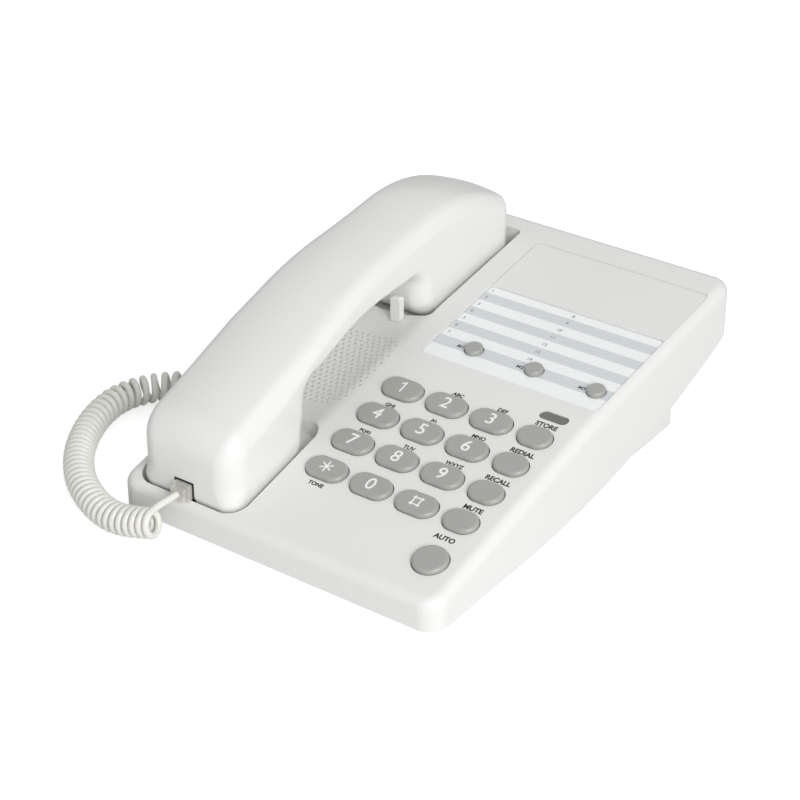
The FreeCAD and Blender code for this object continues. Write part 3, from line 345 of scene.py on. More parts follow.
class Finishes:
    """Every finish on the telephone, named for what it is made of."""

    # Moulded ABS from a spark-eroded tool: soft broad highlights on a clean white
    white = Finish("moulded_white_abs", "#E6E6E4", "#E2E2E0", 0.36)
    # Polished ABS on the handset: the same white with a tighter highlight
    glossy = Finish("polished_white_abs", "#E8E8E6", "#E4E4E2", 0.24, grain_height=0.004)
    # Moulded key plastic: mid grey with a satin sheen along the rounded rims
    grey = Finish("moulded_grey_abs", "#A7A7A2", "#A0A09B", 0.3, grain_height=0.006, drift_size=12.0)
    # Tinted acrylic lamp window: dark, with a sharp reflection on top
    smoke = Finish("tinted_acrylic", "#6A6A68", "#5E5E5C", 0.16, coat=0.4, drift_size=6.0)
    # Coated paper card: flat and even, with crisp printed bands
    card = RuledCard("coated_paper", "#F4F7F6", "#F4F7F6", 0.5, grain=0.5, faceted=True)
    # Clear styrene sheet: a thin veil with a sharp reflection
    clear = Finish("clear_styrene", "#F4F7F8", "#F2F5F7", 0.1, alpha=0.06, grain_height=0.001, faceted=True)
    # Clear polycarbonate plug: milky where it is thick, with small bright glints
    plug = Finish("clear_polycarbonate", "#E9E7E0", "#E2DFD5", 0.12, alpha=0.6, grain_height=0.002, ior=1.58)
    # Extruded vinyl cord: warm white, with a satin line of light along each curl
    vinyl = Finish("extruded_vinyl", "#E6E6DF", "#DFDFD7", 0.32, grain=1.2, drift_size=15.0)
    # Moulded black rubber: dull, with no clear highlight
    rubber = Finish("moulded_rubber", "#2A2A2A", "#333333", 0.75, grain_height=0.03)
    # Zinc-plated steel: bright and slightly clouded
    steel = Finish("zinc_plated_steel", "#B4B6B8", "#A6A8AA", 0.3, metallic=1.0)
    # Solder-masked laminate: deep green with a lacquered sheen
    board = Finish("solder_masked_laminate", "#1F5A38", "#1A4C30", 0.35)
    # Moulded black nylon: near black, half matt; also used as painted shade in the handset's openings
    black = Finish("black_nylon_and_painted_shade", "#1B1B1B", "#222222", 0.45)
    # Drawn aluminium can: pale, smooth metal
    can = Finish("drawn_aluminium", "#C4C6C8", "#B8BABC", 0.28, metallic=1.0)
    # Sand-cast iron: dark and rough, with a coarse grain
    iron = Finish("cast_iron", "#4A4A4A", "#3C3C3C", 0.65, grain=2.0, grain_height=0.08, metallic=1.0)
    # Pad-printed inks: flat, matt colour
    ink_white = Finish("pad_printed_white_ink", "#F4F4F2", "#EEEEEC", 0.5)
    ink_black = Finish("pad_printed_black_ink", "#20211F", "#2B2C2A", 0.5)
    # Offset-printed grey ink on the card: thin and matt
    ink_grey = Finish("offset_printed_grey_ink", "#7C8486", "#858D8F", 0.5)


def dress(node: bpy.types.Object, finish: Finish) -> None:
    """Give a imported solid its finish.

    Args:
        node: The solid's object.
        finish: Its finish.
    """
    material = finish.material()
    if node.material_slots:
        for slot in node.material_slots:
            slot.material = material
    else:
        node.data.materials.append(material)


def mesh_piece(
    name: str,
    points: np.ndarray,
    faces: np.ndarray,
    finish: Finish,
    outlines: tuple[np.ndarray, ...] = (),
    smooth: bool = True,
) -> bpy.types.Object:
    """Make a mesh object from arrays.

    Args:
        name: Name of the piece.
        points: Corners in metres, one row each.
        faces: Corner numbers, four to a row; a triangle repeats its last one.
        finish: Finish of the piece.
        outlines: Corner numbers of flat faces with many corners.
        smooth: Whether the faces are shaded as one curved surface.

    Returns:
        The new object.
    """
    mesh = bpy.data.meshes.new(name)
    rows = [tuple(dict.fromkeys(row)) for row in faces.tolist()]
    rows += [tuple(row.tolist()) for row in outlines]
    mesh.from_pydata(points.tolist(), [], rows)
    mesh.polygons.foreach_set("use_smooth", np.full(len(mesh.polygons), smooth))
    mesh.update()
    made = add_object(name, mesh)
    made.data.materials.append(finish.material())
    return made


@dataclass
class Legend:
    """One printed word or figure on a slope, made from the built-in outline font.

    The cap height is millimetres. The spread of the ink and the layer's thickness are shares of the font's
    own size.
    """

    words: str
    cap: float
    spread: float = 0.006
    layer: float = 0.004
    resolution: int = 5

    def mesh(self, name: str) -> bpy.types.Mesh:
        """Outline of the words as a thin printed layer, centred and scaled to the cap height.

        Args:
            name: Name of the mesh.

        Returns:
            The mesh, in drawing millimetres.
        """
        curve = bpy.data.curves.new(name, "FONT")
        curve.body = self.words
        curve.align_x = "CENTER"
        curve.resolution_u = self.resolution
        curve.offset = self.spread
        curve.extrude = self.layer
        mesh = mesh_of_curve(curve)
        mesh.name = name
        spots = corners_of(mesh)
        low, high = spots.min(axis=0), spots.max(axis=0)
        scale = self.cap / (high[1] - low[1])
        mesh.vertices.foreach_set("co", ((spots - (low + high) / 2) * scale).ravel())
        return mesh

    def put(self, name: str, slope: Slope, place: Place, finish: Finish) -> bpy.types.Object:
        """Lay the words on a slope.

        Args:
            name: Name of the piece.
            slope: Slope that carries it.
            place: Right, up the slope and out of it, in millimetres.
            finish: Ink.

        Returns:
            The new object.
        """
        mesh = self.mesh(name)
        mesh.transform(slope.matrix(*place))
        mesh.materials.clear()
        mesh.materials.append(finish.material())
        return add_object(name, mesh)


@dataclass
class Strokes:
    """A sign drawn as straight bars of one width, each with flat ends and a hair above the one before."""

    bars: tuple[tuple[float, float, float, float], ...]
    width: float
    thick: float = 0.03
    stagger: float = 0.004

    def put(self, name: str, slope: Slope, place: Place, finish: Finish) -> bpy.types.Object:
        """Lay the bars on a slope as closed flat prisms.

        A bar from a to b of width w has corners a and b plus and minus half of w across its direction, at
        heights of plus and minus half the thickness.

        Args:
            name: Name of the piece.
            slope: Slope that carries it.
            place: Right, up the slope and out of it, in millimetres.
            finish: Ink.

        Returns:
            The new object.
        """
        bars = np.array(self.bars).reshape(-1, 2, 2)
        first, last = bars[:, 0], bars[:, 1]
        way = unit(last - first)
        across = np.stack([-way[:, 1], way[:, 0]], axis=1) * self.width / 2
        ring = np.stack([first - across, last - across, last + across, first + across], axis=1)
        count, corners = ring.shape[:2]
        lift = (np.arange(count) * self.stagger)[:, None, None]
        levels = [np.broadcast_to(lift + side * self.thick / 2, (count, corners, 1)) for side in (-1, 1)]
        rings = [np.concatenate([ring, level], axis=2) for level in levels]
        points = np.concatenate(rings, axis=1).reshape(-1, 3)
        start = 2 * corners * np.arange(count)
        faces = (PRISM_FACES[None] + start[:, None, None]).reshape(-1, 4)
        made = mesh_piece(name, points, faces, finish, smooth=False)
        made.data.transform(slope.matrix(*place))
        return made


@dataclass
class Keypad:
    """Keys and their printed signs. Offsets run right and up the slope from the middle of a key."""

    column: float = -3.0
    columns: int = 3
    pitch: tuple[float, float] = (21.0, 17.0)
    top_row: float = 91.5
    function_x: float = 58.9
    round_key: tuple[float, float] = (60.1, 18.8)
    proud: float = 1.9
    ink_rise: float = 0.03
    digit_cap: float = 5.9
    digit_up: float = 0.2
    letter_cap: float = 2.0
    letter_offset: tuple[float, float] = (0.4, 7.6)
    word_cap: float = 2.5
    word_offset: tuple[float, float] = (0.3, 7.9)
    auto_offset: tuple[float, float] = (-2.0, 12.0)
    tone_offset: tuple[float, float] = (0.6, -8.2)
    ink_spread: float = 0.04
    names: tuple[str, ...] = ("1", "2", "3", "4", "5", "6", "7", "8", "9", "star", "0", "hash")
    letters: tuple[str, ...] = ("", "ABC", "DEF", "GHI", "JKL", "MNO", "PQRS", "TUV", "WXYZ")
    functions: tuple[tuple[str, str], ...] = (
        ("store", "STORE"),
        ("redial", "REDIAL"),
        ("recall", "RECALL"),
        ("mute", "MUTE"),
    )
    one_bars: tuple[tuple[float, ...], ...] = ((0.4, -2.95, 0.4, 2.95), (0.6, 2.75, -1.3, 1.5))
    one_width: float = 0.68
    star_reach: float = 2.9
    star_bars: int = 3
    star_width: float = 0.6
    hash_bars: tuple[tuple[float, ...], ...] = (
        (-1.5, -2.5, -1.5, 2.5),
        (1.5, -2.5, 1.5, 2.5),
        (-2.4, -1.7, 2.4, -1.7),
        (-2.4, 1.7, 2.4, 1.7),
    )
    hash_width: float = 0.62

    def place(self, index: int) -> tuple[float, float]:
        """Middle of a dial key by its number in reading order."""
        row, column = divmod(index, self.columns)
        return self.column + self.pitch[0] * column, self.top_row - self.pitch[1] * row

    def drawing(self, name: str) -> Legend | Strokes:
        """Drawing of one dial key's sign: bars for the plain signs, the font for the other figures.

        Each bar of the star runs from minus to plus its reach along a turn of its own.

        Args:
            name: The key's name.

        Returns:
            The drawing.
        """
        if name == "1":
            return Strokes(self.one_bars, self.one_width)
        if name == "star":
            turns = math.pi / 2 + math.pi / self.star_bars * np.arange(self.star_bars)
            ends = self.star_reach * np.stack([np.cos(turns), np.sin(turns)], axis=1)
            return Strokes(tuple(map(tuple, np.concatenate([-ends, ends], axis=1))), self.star_width)
        if name == "hash":
            return Strokes(self.hash_bars, self.hash_width)
        return Legend(name, self.digit_cap)

    def build(self, frame: dict) -> list[bpy.types.Object]:
        """Dress the keys and print their signs.

        Args:
            frame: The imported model.

        Returns:
            The new pieces.
        """
        for node_name, node in frame["nodes"].items():
            if node_name.startswith("key_"):
                dress(node, Finishes.grey)
        made = []
        for index, name in enumerate(self.names):
            x, up = self.place(index)
            place = (x, up + self.digit_up, self.proud + self.ink_rise)
            sign = self.drawing(name).put("sign_" + name, Slope.KEYPAD, place, Finishes.ink_white)
            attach(sign, "key_" + name)
            made.append(sign)
        for index, word in enumerate(self.letters):
            if word:
                name = "letters_" + self.names[index]
                made.append(self.caption(name, word, self.letter_cap, self.place(index), self.letter_offset))
        for row, (name, word) in enumerate(self.functions):
            key = (self.function_x, self.top_row - self.pitch[1] * row)
            made.append(self.caption("label_" + name, word, self.word_cap, key, self.word_offset))
        made.append(self.caption("label_auto", "AUTO", self.word_cap, self.round_key, self.auto_offset))
        star = self.place(self.names.index("star"))
        made.append(self.caption("label_tone", "TONE", self.letter_cap, star, self.tone_offset))
        return made

    def caption(
        self, name: str, word: str, cap: float, key: tuple[float, float], offset: tuple[float, float]
    ) -> bpy.types.Object:
        """Black word printed on the housing beside a key.

        Args:
            name: Name of the piece.
            word: The word.
            cap: Cap height in millimetres.
            key: Middle of the key, right and up the slope, in millimetres.
            offset: Millimetres from there, right and up the slope.

        Returns:
            The new object.
        """
        place = (key[0] + offset[0], key[1] + offset[1], self.ink_rise)
        made = Legend(word, cap, self.ink_spread).put(name, Slope.KEYPAD, place, Finishes.ink_black)
        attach(made, "base")
        return made


@dataclass
class IndexCard:
    """Ruled card with plain line numbers, its clear cover and the numbers of its memory keys."""

    left: float = -8.8
    middle: float = 30.5
    lines: tuple[float, ...] = (56.5, 51.4, 45.9, 40.4, 34.9, 29.4, 23.8)
    cap: float = 1.7
    ink_spread: float = 0.016
    lift: float = 0.06
    merge: float = 0.001
    print_rise: float = -0.71
    memory_x: tuple[float, ...] = (7.4, 36.1, 64.8)
    memory_row: float = 18.0
    memory_cap: float = 1.955
    memory_spread: float = 0.024
    memory_offset: tuple[float, float] = (-6.3, -0.4)

    def build(self, frame: dict) -> list[bpy.types.Object]:
        """Dress the card and print its numbers.

        Args:
            frame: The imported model.

        Returns:
            The new pieces.
        """
        dress(frame["nodes"]["card_cover"], Finishes.clear)
        made = []
        for row, up in enumerate(self.lines):
            for side, x in enumerate((self.left, self.middle)):
                number = row + 1 + side * len(self.lines)
                words = Legend(str(number), self.cap, self.ink_spread)
                place = (x, up, self.print_rise)
                made.append(words.put(f"card_number_{number}", Slope.CARD, place, Finishes.ink_grey))
        for number, x in enumerate(self.memory_x, start=1):
            words = Legend("M" + str(number), self.memory_cap, self.memory_spread)
            place = (x + self.memory_offset[0], self.memory_row + self.memory_offset[1], self.print_rise)
            made.append(words.put(f"memory_number_{number}", Slope.CARD, place, Finishes.ink_black))
        for piece in made:
            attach(piece, "base")
        return [self.sheet(frame["nodes"]["index_card"]), *made]

    def sheet(self, node: bpy.types.Object) -> bpy.types.Object:
        """The card, a hair higher than its solid, so that it shares no plane with the cover.

        Args:
            node: The card's solid.

        Returns:
            The new object.
        """
        mesh = node.data.copy()
        mesh.name = "ruled_card"
        work = bmesh.new()
        work.from_mesh(mesh)
        bmesh.ops.remove_doubles(work, verts=work.verts, dist=self.merge * MM)
        work.to_mesh(mesh)
        work.free()
        up = Slope.CARD.matrix(0, 0, 1).translation - Slope.CARD.matrix(0, 0, 0).translation
        mesh.transform(Matrix.Translation(up * self.lift))
        made = add_object("ruled_card", mesh)
        dress(made, Finishes.card)
        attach(made, "base")
        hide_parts("index_card")
        return made


@dataclass
class Dots:
    """Round marks on the handset's face, each a flat closed prism."""

    places: tuple[tuple[float, float], ...]
    radius: float
    thick: float = 0.06
    sides: int = 20

    def put(self, name: str, slope: Slope, rise: float, finish: Finish) -> bpy.types.Object:
        """Lay the dots parallel to a slope.

        A dot's rim is its middle plus its radius times the cosine and the sine of the turn.

        Args:
            name: Name of the piece.
            slope: Slope that the dots lie along.
            rise: Millimetres square out of the slope.
            finish: Finish of the dots.

        Returns:
            The new object.
        """
        turn = np.linspace(0, 2 * np.pi, self.sides, endpoint=False)
        rim = np.stack([np.cos(turn), np.sin(turn)], axis=1) * self.radius
        ring = np.array(self.places)[:, None, :] + rim[None]
        count = len(self.places)
        levels = [np.full((count, self.sides, 1), side * self.thick / 2) for side in (-1, 1)]
        rings = [np.concatenate([ring, level], axis=2) for level in levels]
        points = np.concatenate(rings, axis=1).reshape(-1, 3)
        here = np.arange(self.sides)
        following = (here + 1) % self.sides
        wall = np.stack([here, following, following + self.sides, here + self.sides], axis=1)
        start = 2 * self.sides * np.arange(count)
        faces = (wall[None] + start[:, None, None]).reshape(-1, 4)
        outlines = [here[::-1] + first for first in start] + [here + self.sides + first for first in start]
        made = mesh_piece(name, points, faces, finish, tuple(outlines), smooth=False)
        made.data.transform(slope.matrix(0, 0, rise))
        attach(made, "handset")
        return made


@dataclass
class Handset:
    """Outer form of the handset, as it lies on the cradle, with its openings.

    A closed side profile is carried across the width. Towards each side every point moves into the profile
    by a depth that follows a crown and a bevel on the back, and a rounded edge everywhere else.
    """

    middle: float = -44.2
    ends: tuple[float, float] = (3.6, 199.0)
    # Depth and half width; the tapers are softened where they meet
    half_widths: tuple[tuple[float, float], ...] = (
        (3.6, 23.5),
        (45.0, 23.2),
        (85.0, 21.0),
        (130.0, 19.4),
        (170.0, 19.8),
        (199.0, 20.2),
    )
    width_soften: int = 41
    # Depth, height, radius, and the edge rounding and crown share of the run after the corner
    corners: tuple[tuple[float, float, float, float, float], ...] = (
        (3.6, 6.55, 7.5, 4.8, 0.0),
        (51.0, 17.8, 13.0, 8.0, 0.0),
        (55.3, 49.6, 8.0, 2.2, 0.0),
        (91.2, 61.2, 115.0, 2.6, 0.0),
        (131.5, 61.4, 8.0, 8.0, 0.0),
        (135.2, 34.6, 12.0, 6.0, 0.0),
        (199.0, 44.7, 8.0, 7.5, 0.0),
        (199.0, 72.2, 9.0, 7.0, 1.0),
        (168.5, 86.7, 84.0, 7.0, 1.0),
        (92.0, 76.6, 142.0, 7.0, 1.0),
        (3.6, 43.5, 16.0, 10.0, 0.0),
    )
    arc_samples: int = 40
    step: float = 0.95
    soften: float = 9.0
    # An edge on a convex corner is rounded by less than this share of the corner's radius, elsewhere freely
    edge_share: float = 0.95
    edge_free: float = 99.0
    ridge_inset: float = 3.2
    ridge_blend: float = 3.0
    crown_radius: float = 85.0
    # Depth and drop of the bevel along the back
    bevel: tuple[tuple[float, float], ...] = (
        (3.6, 7.0),
        (34.0, 6.6),
        (58.0, 3.4),
        (90.0, 4.6),
        (120.0, 5.8),
        (150.0, 5.4),
        (199.0, 4.5),
    )
    bevel_run: tuple[float, float] = (0.4, 0.6)
    side_run: float = 1.2
    # Points from the middle to the side: flat and turn on a plain edge, flat, two bends and a run on the back
    flat_samples: int = 12
    turn_samples: int = 21
    bend_samples: int = 8
    run_samples: int = 5
    ear_place: float = 67.24
    ear_ring: float = 6.5
    ear_ring_holes: int = 6
    ear_hole: float = 1.1
    ear_rise: float = -8.4
    mouth_place: float = 27.75
    mouth_steps: tuple[float, ...] = (-4.0, 0.0, 4.0)
    mouth_hole: float = 0.8
    mouth_rise: float = -7.4
    screws: tuple[tuple[float, float], ...] = ((-57.2, 30.84), (-44.2, 45.97))
    # Radius of the black disc of painted shade round each screw head
    recess_radius: float = 3.0
    head_radius: float = 2.5
    head_thick: float = 0.12
    socket_size: Place = (9.6, 0.9, 8.2)
    socket_depth: float = 3.98
    socket_level: float = 17.3

    def profile(self) -> np.ndarray:
        """Closed side profile with rounded corners, at even steps.

        Each corner is an arc that leaves and meets its two straight runs at radius times the tangent of
        half the turn from the corner.

        Returns:
            Rows of depth, height, edge rounding and crown share.
        """
        data = np.array(self.corners)
        spots, radius, kinds = data[:, :2], data[:, 2], data[:, 3:]
        back = unit(np.roll(spots, 1, axis=0) - spots)
        ahead = unit(np.roll(spots, -1, axis=0) - spots)
        half = np.arccos(np.clip(np.sum(back * ahead, axis=1), -1, 1)) / 2
        reach = (radius / np.tan(half))[:, None]
        centre = spots + unit(back + ahead) * (radius / np.sin(half))[:, None]
        first = (spots + back * reach - centre)[:, None]
        last = (spots + ahead * reach - centre)[:, None]
        share = np.linspace(0, 1, self.arc_samples)[None, :, None]
        sweep = (np.pi - 2 * half)[:, None, None]
        arcs = (np.sin((1 - share) * sweep) * first + np.sin(share * sweep) * last) / np.sin(sweep)
        arcs += centre[:, None]
        kind = np.roll(kinds, 1, axis=0)[:, None] * (1 - share) + kinds[:, None] * share
        convex = back[:, 1] * ahead[:, 0] - back[:, 0] * ahead[:, 1] > 0
        limit = np.where(convex, self.edge_share * radius, self.edge_free)
        limit = np.broadcast_to(limit[:, None, None], (*arcs.shape[:2], 1))
        dense = np.concatenate([arcs, kind, limit], axis=2).reshape(-1, 5)
        dense = np.concatenate([dense, dense[:1]])
        way = np.concatenate([[0.0], np.cumsum(np.linalg.norm(np.diff(dense[:, :2], axis=0), axis=1))])
        even = np.linspace(0, way[-1], int(way[-1] / self.step), endpoint=False)
        depth, height, edge, crown, most = (np.interp(even, way, column) for column in dense.T)
        edge, crown = self.softened(edge), self.softened(crown)
        return np.stack([depth, height, np.minimum(edge, most), crown], axis=1)

    def softened(self, values: np.ndarray) -> np.ndarray:
        """Smooth values along the closed profile by a moving weighted mean.

        Args:
            values: One value for each profile point.

        Returns:
            The smoothed values.
        """
        wide = int(self.soften / self.step) | 1
        padded = np.concatenate([values[-wide:], values, values[:wide]])
        return np.convolve(padded, bell(wide), mode="same")[wide:-wide]

    def half_width(self, depth: np.ndarray) -> np.ndarray:
        """Half width at each depth: straight tapers smoothed by a moving weighted mean.

        Args:
            depth: Depths in millimetres.

        Returns:
            Half widths, smooth along the depth.
        """
        grid = np.arange(*self.ends)
        padded = np.pad(np.interp(grid, *np.array(self.half_widths).T), self.width_soften // 2, mode="edge")
        return np.interp(depth, grid, np.convolve(padded, bell(self.width_soften), mode="valid"))

    def half_section(self, rows: np.ndarray, half: np.ndarray) -> tuple[np.ndarray, np.ndarray]:
        """Width and inward depth from the middle to the side, for every profile point.

        The plain edge is flat and then a quarter circle. The back is a shallow parabola to the ridge, a
        quadratic curve over it, a straight bevel and a quadratic curve into the side.

        Args:
            rows: The profile's rows.
            half: Half width at each profile point.

        Returns:
            Widths and depths, one row for each profile point.
        """
        edge, crown = rows[:, 2:3], rows[:, 3:4]
        half = half[:, None]
        flat = np.linspace(0, 1, self.flat_samples)[None]
        turn = np.linspace(0, np.pi / 2, self.turn_samples + 1)[None, 1:]
        bend = np.linspace(0, 1, self.bend_samples + 1)[None, 1:]
        run = np.linspace(0, 1, self.run_samples + 1)[None, 1:]
        plain_x = np.concatenate([(half - edge) * flat, half - edge + edge * np.sin(turn)], axis=1)
        plain_h = np.concatenate([0 * half * flat, edge * (1 - np.cos(turn))], axis=1)
        drop = np.interp(rows[:, 0], *np.array(self.bevel).T)[:, None]
        ridge = half - self.ridge_inset
        start = ridge - self.ridge_blend
        top_x = start * flat
        fall, lead, top_h = (x ** 2 / (2 * self.crown_radius) for x in (ridge, start, top_x))
        x1, x2 = (ridge + share * self.ridge_inset for share in self.bevel_run)
        h1, h2 = (fall + share * drop for share in self.bevel_run)
        over_x, over_h = quadratic(start, ridge, x1, bend), quadratic(lead, fall, h1, bend)
        run_x, run_h = x1 + (x2 - x1) * run, h1 + (h2 - h1) * run
        into_x = quadratic(x2, half, half, bend)
        into_h = quadratic(h2, fall + drop, fall + drop + self.side_run, bend)
        crown_x = np.concatenate([top_x, over_x, run_x, into_x], axis=1)
        crown_h = np.concatenate([top_h, over_h, run_h, into_h], axis=1)
        return plain_x + (crown_x - plain_x) * crown, plain_h + (crown_h - plain_h) * crown

    def form(self) -> bpy.types.Object:
        """The handset's closed surface: each profile point moved across the width and into the profile.

        Returns:
            The new object.
        """
        rows = self.profile()
        spots = rows[:, :2]
        way = unit(np.roll(spots, -1, axis=0) - np.roll(spots, 1, axis=0))
        inward = np.stack([-way[:, 1], way[:, 0]], axis=1)
        wide, deep = self.half_section(rows, self.half_width(rows[:, 0]))
        wide = np.concatenate([-wide[:, :0:-1], wide], axis=1)
        deep = np.concatenate([deep[:, :0:-1], deep], axis=1)
        side = spots[:, None] + inward[:, None] * deep[..., None]
        points = np.stack([self.middle + wide, FRONT_EDGE + side[..., 0], side[..., 1]], axis=-1) * MM
        count, across = wide.shape
        i, j = np.meshgrid(np.arange(count), np.arange(across - 1), indexing="ij")
        here, following = i * across + j, (i + 1) % count * across + j
        faces = np.stack([here, following, following + 1, here + 1], axis=-1).reshape(-1, 4)
        loop = np.arange(count) * across
        outlines = (loop[::-1], loop + across - 1)
        return mesh_piece("handset_form", points.reshape(-1, 3), faces, Finishes.glossy, outlines)

    def holes(self) -> list[bpy.types.Object]:
        """Holes over the receiver and the microphone: a ring round a middle one, and a row.

        Returns:
            The new pieces.
        """
        turns = np.radians(360 / self.ear_ring_holes * np.arange(self.ear_ring_holes))
        ring = [
            (self.middle + self.ear_ring * math.cos(turn), self.ear_place + self.ear_ring * math.sin(turn))
            for turn in turns
        ]
        # Each hole is a black disc: the dark rubber and capsule behind it, and painted shade inside the hole
        ear = Dots(((self.middle, self.ear_place), *ring), self.ear_hole)
        row = tuple((self.middle + step, self.mouth_place) for step in self.mouth_steps)
        mouth = Dots(row, self.mouth_hole)
        return [
            ear.put("ear_holes", Slope.CARD, self.ear_rise, Finishes.black),
            mouth.put("mouth_holes", Slope.KEYPAD, self.mouth_rise, Finishes.black),
        ]

    def screw_heads(self) -> list[bpy.types.Object]:
        """Two screws in the handset's face, each a black disc of painted shade for its well, with a steel
        head in it.

        Returns:
            The new pieces.
        """
        made = []
        for name, slope, place, rise in (
            ("mouth", Slope.KEYPAD, self.screws[0], self.mouth_rise),
            ("ear", Slope.CARD, self.screws[1], self.ear_rise),
        ):
            # The black disc under each head is painted shade, standing for the shade in the screw's well
            recess = Dots((place,), self.recess_radius)
            head = Dots((place,), self.head_radius, self.head_thick)
            made.append(recess.put(name + "_screw_well_shade", slope, rise, Finishes.black))
            made.append(head.put(name + "_screw_head", slope, rise, Finishes.steel))
        return made

    def socket_mouth(self) -> bpy.types.Object:
        """Dark face of the cord socket in the mouth end: a thin box, the black socket plus painted shade in
        its opening.

        Returns:
            The new object.
        """
        signs = np.array([(x, y, z) for x in (-1, 1) for y in (-1, 1) for z in (-1, 1)]) / 2
        points = signs * self.socket_size + (self.middle, FRONT_EDGE + self.socket_depth, self.socket_level)
        # Its black is partly the socket's own and partly painted shade inside the opening
        made = mesh_piece("socket_mouth", points * MM, BOX_FACES, Finishes.black, smooth=False)
        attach(made, "handset")
        return made

    def build(self, frame: dict) -> list[bpy.types.Object]:
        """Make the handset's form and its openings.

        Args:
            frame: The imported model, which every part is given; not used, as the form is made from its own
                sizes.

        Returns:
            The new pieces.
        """
        form = self.form()
        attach(form, "handset")
        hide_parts("handset_outer_shell", "handset_inner_shell")
        pieces = [*self.holes(), *self.screw_heads(), self.socket_mouth()]
        return [form, *pieces]


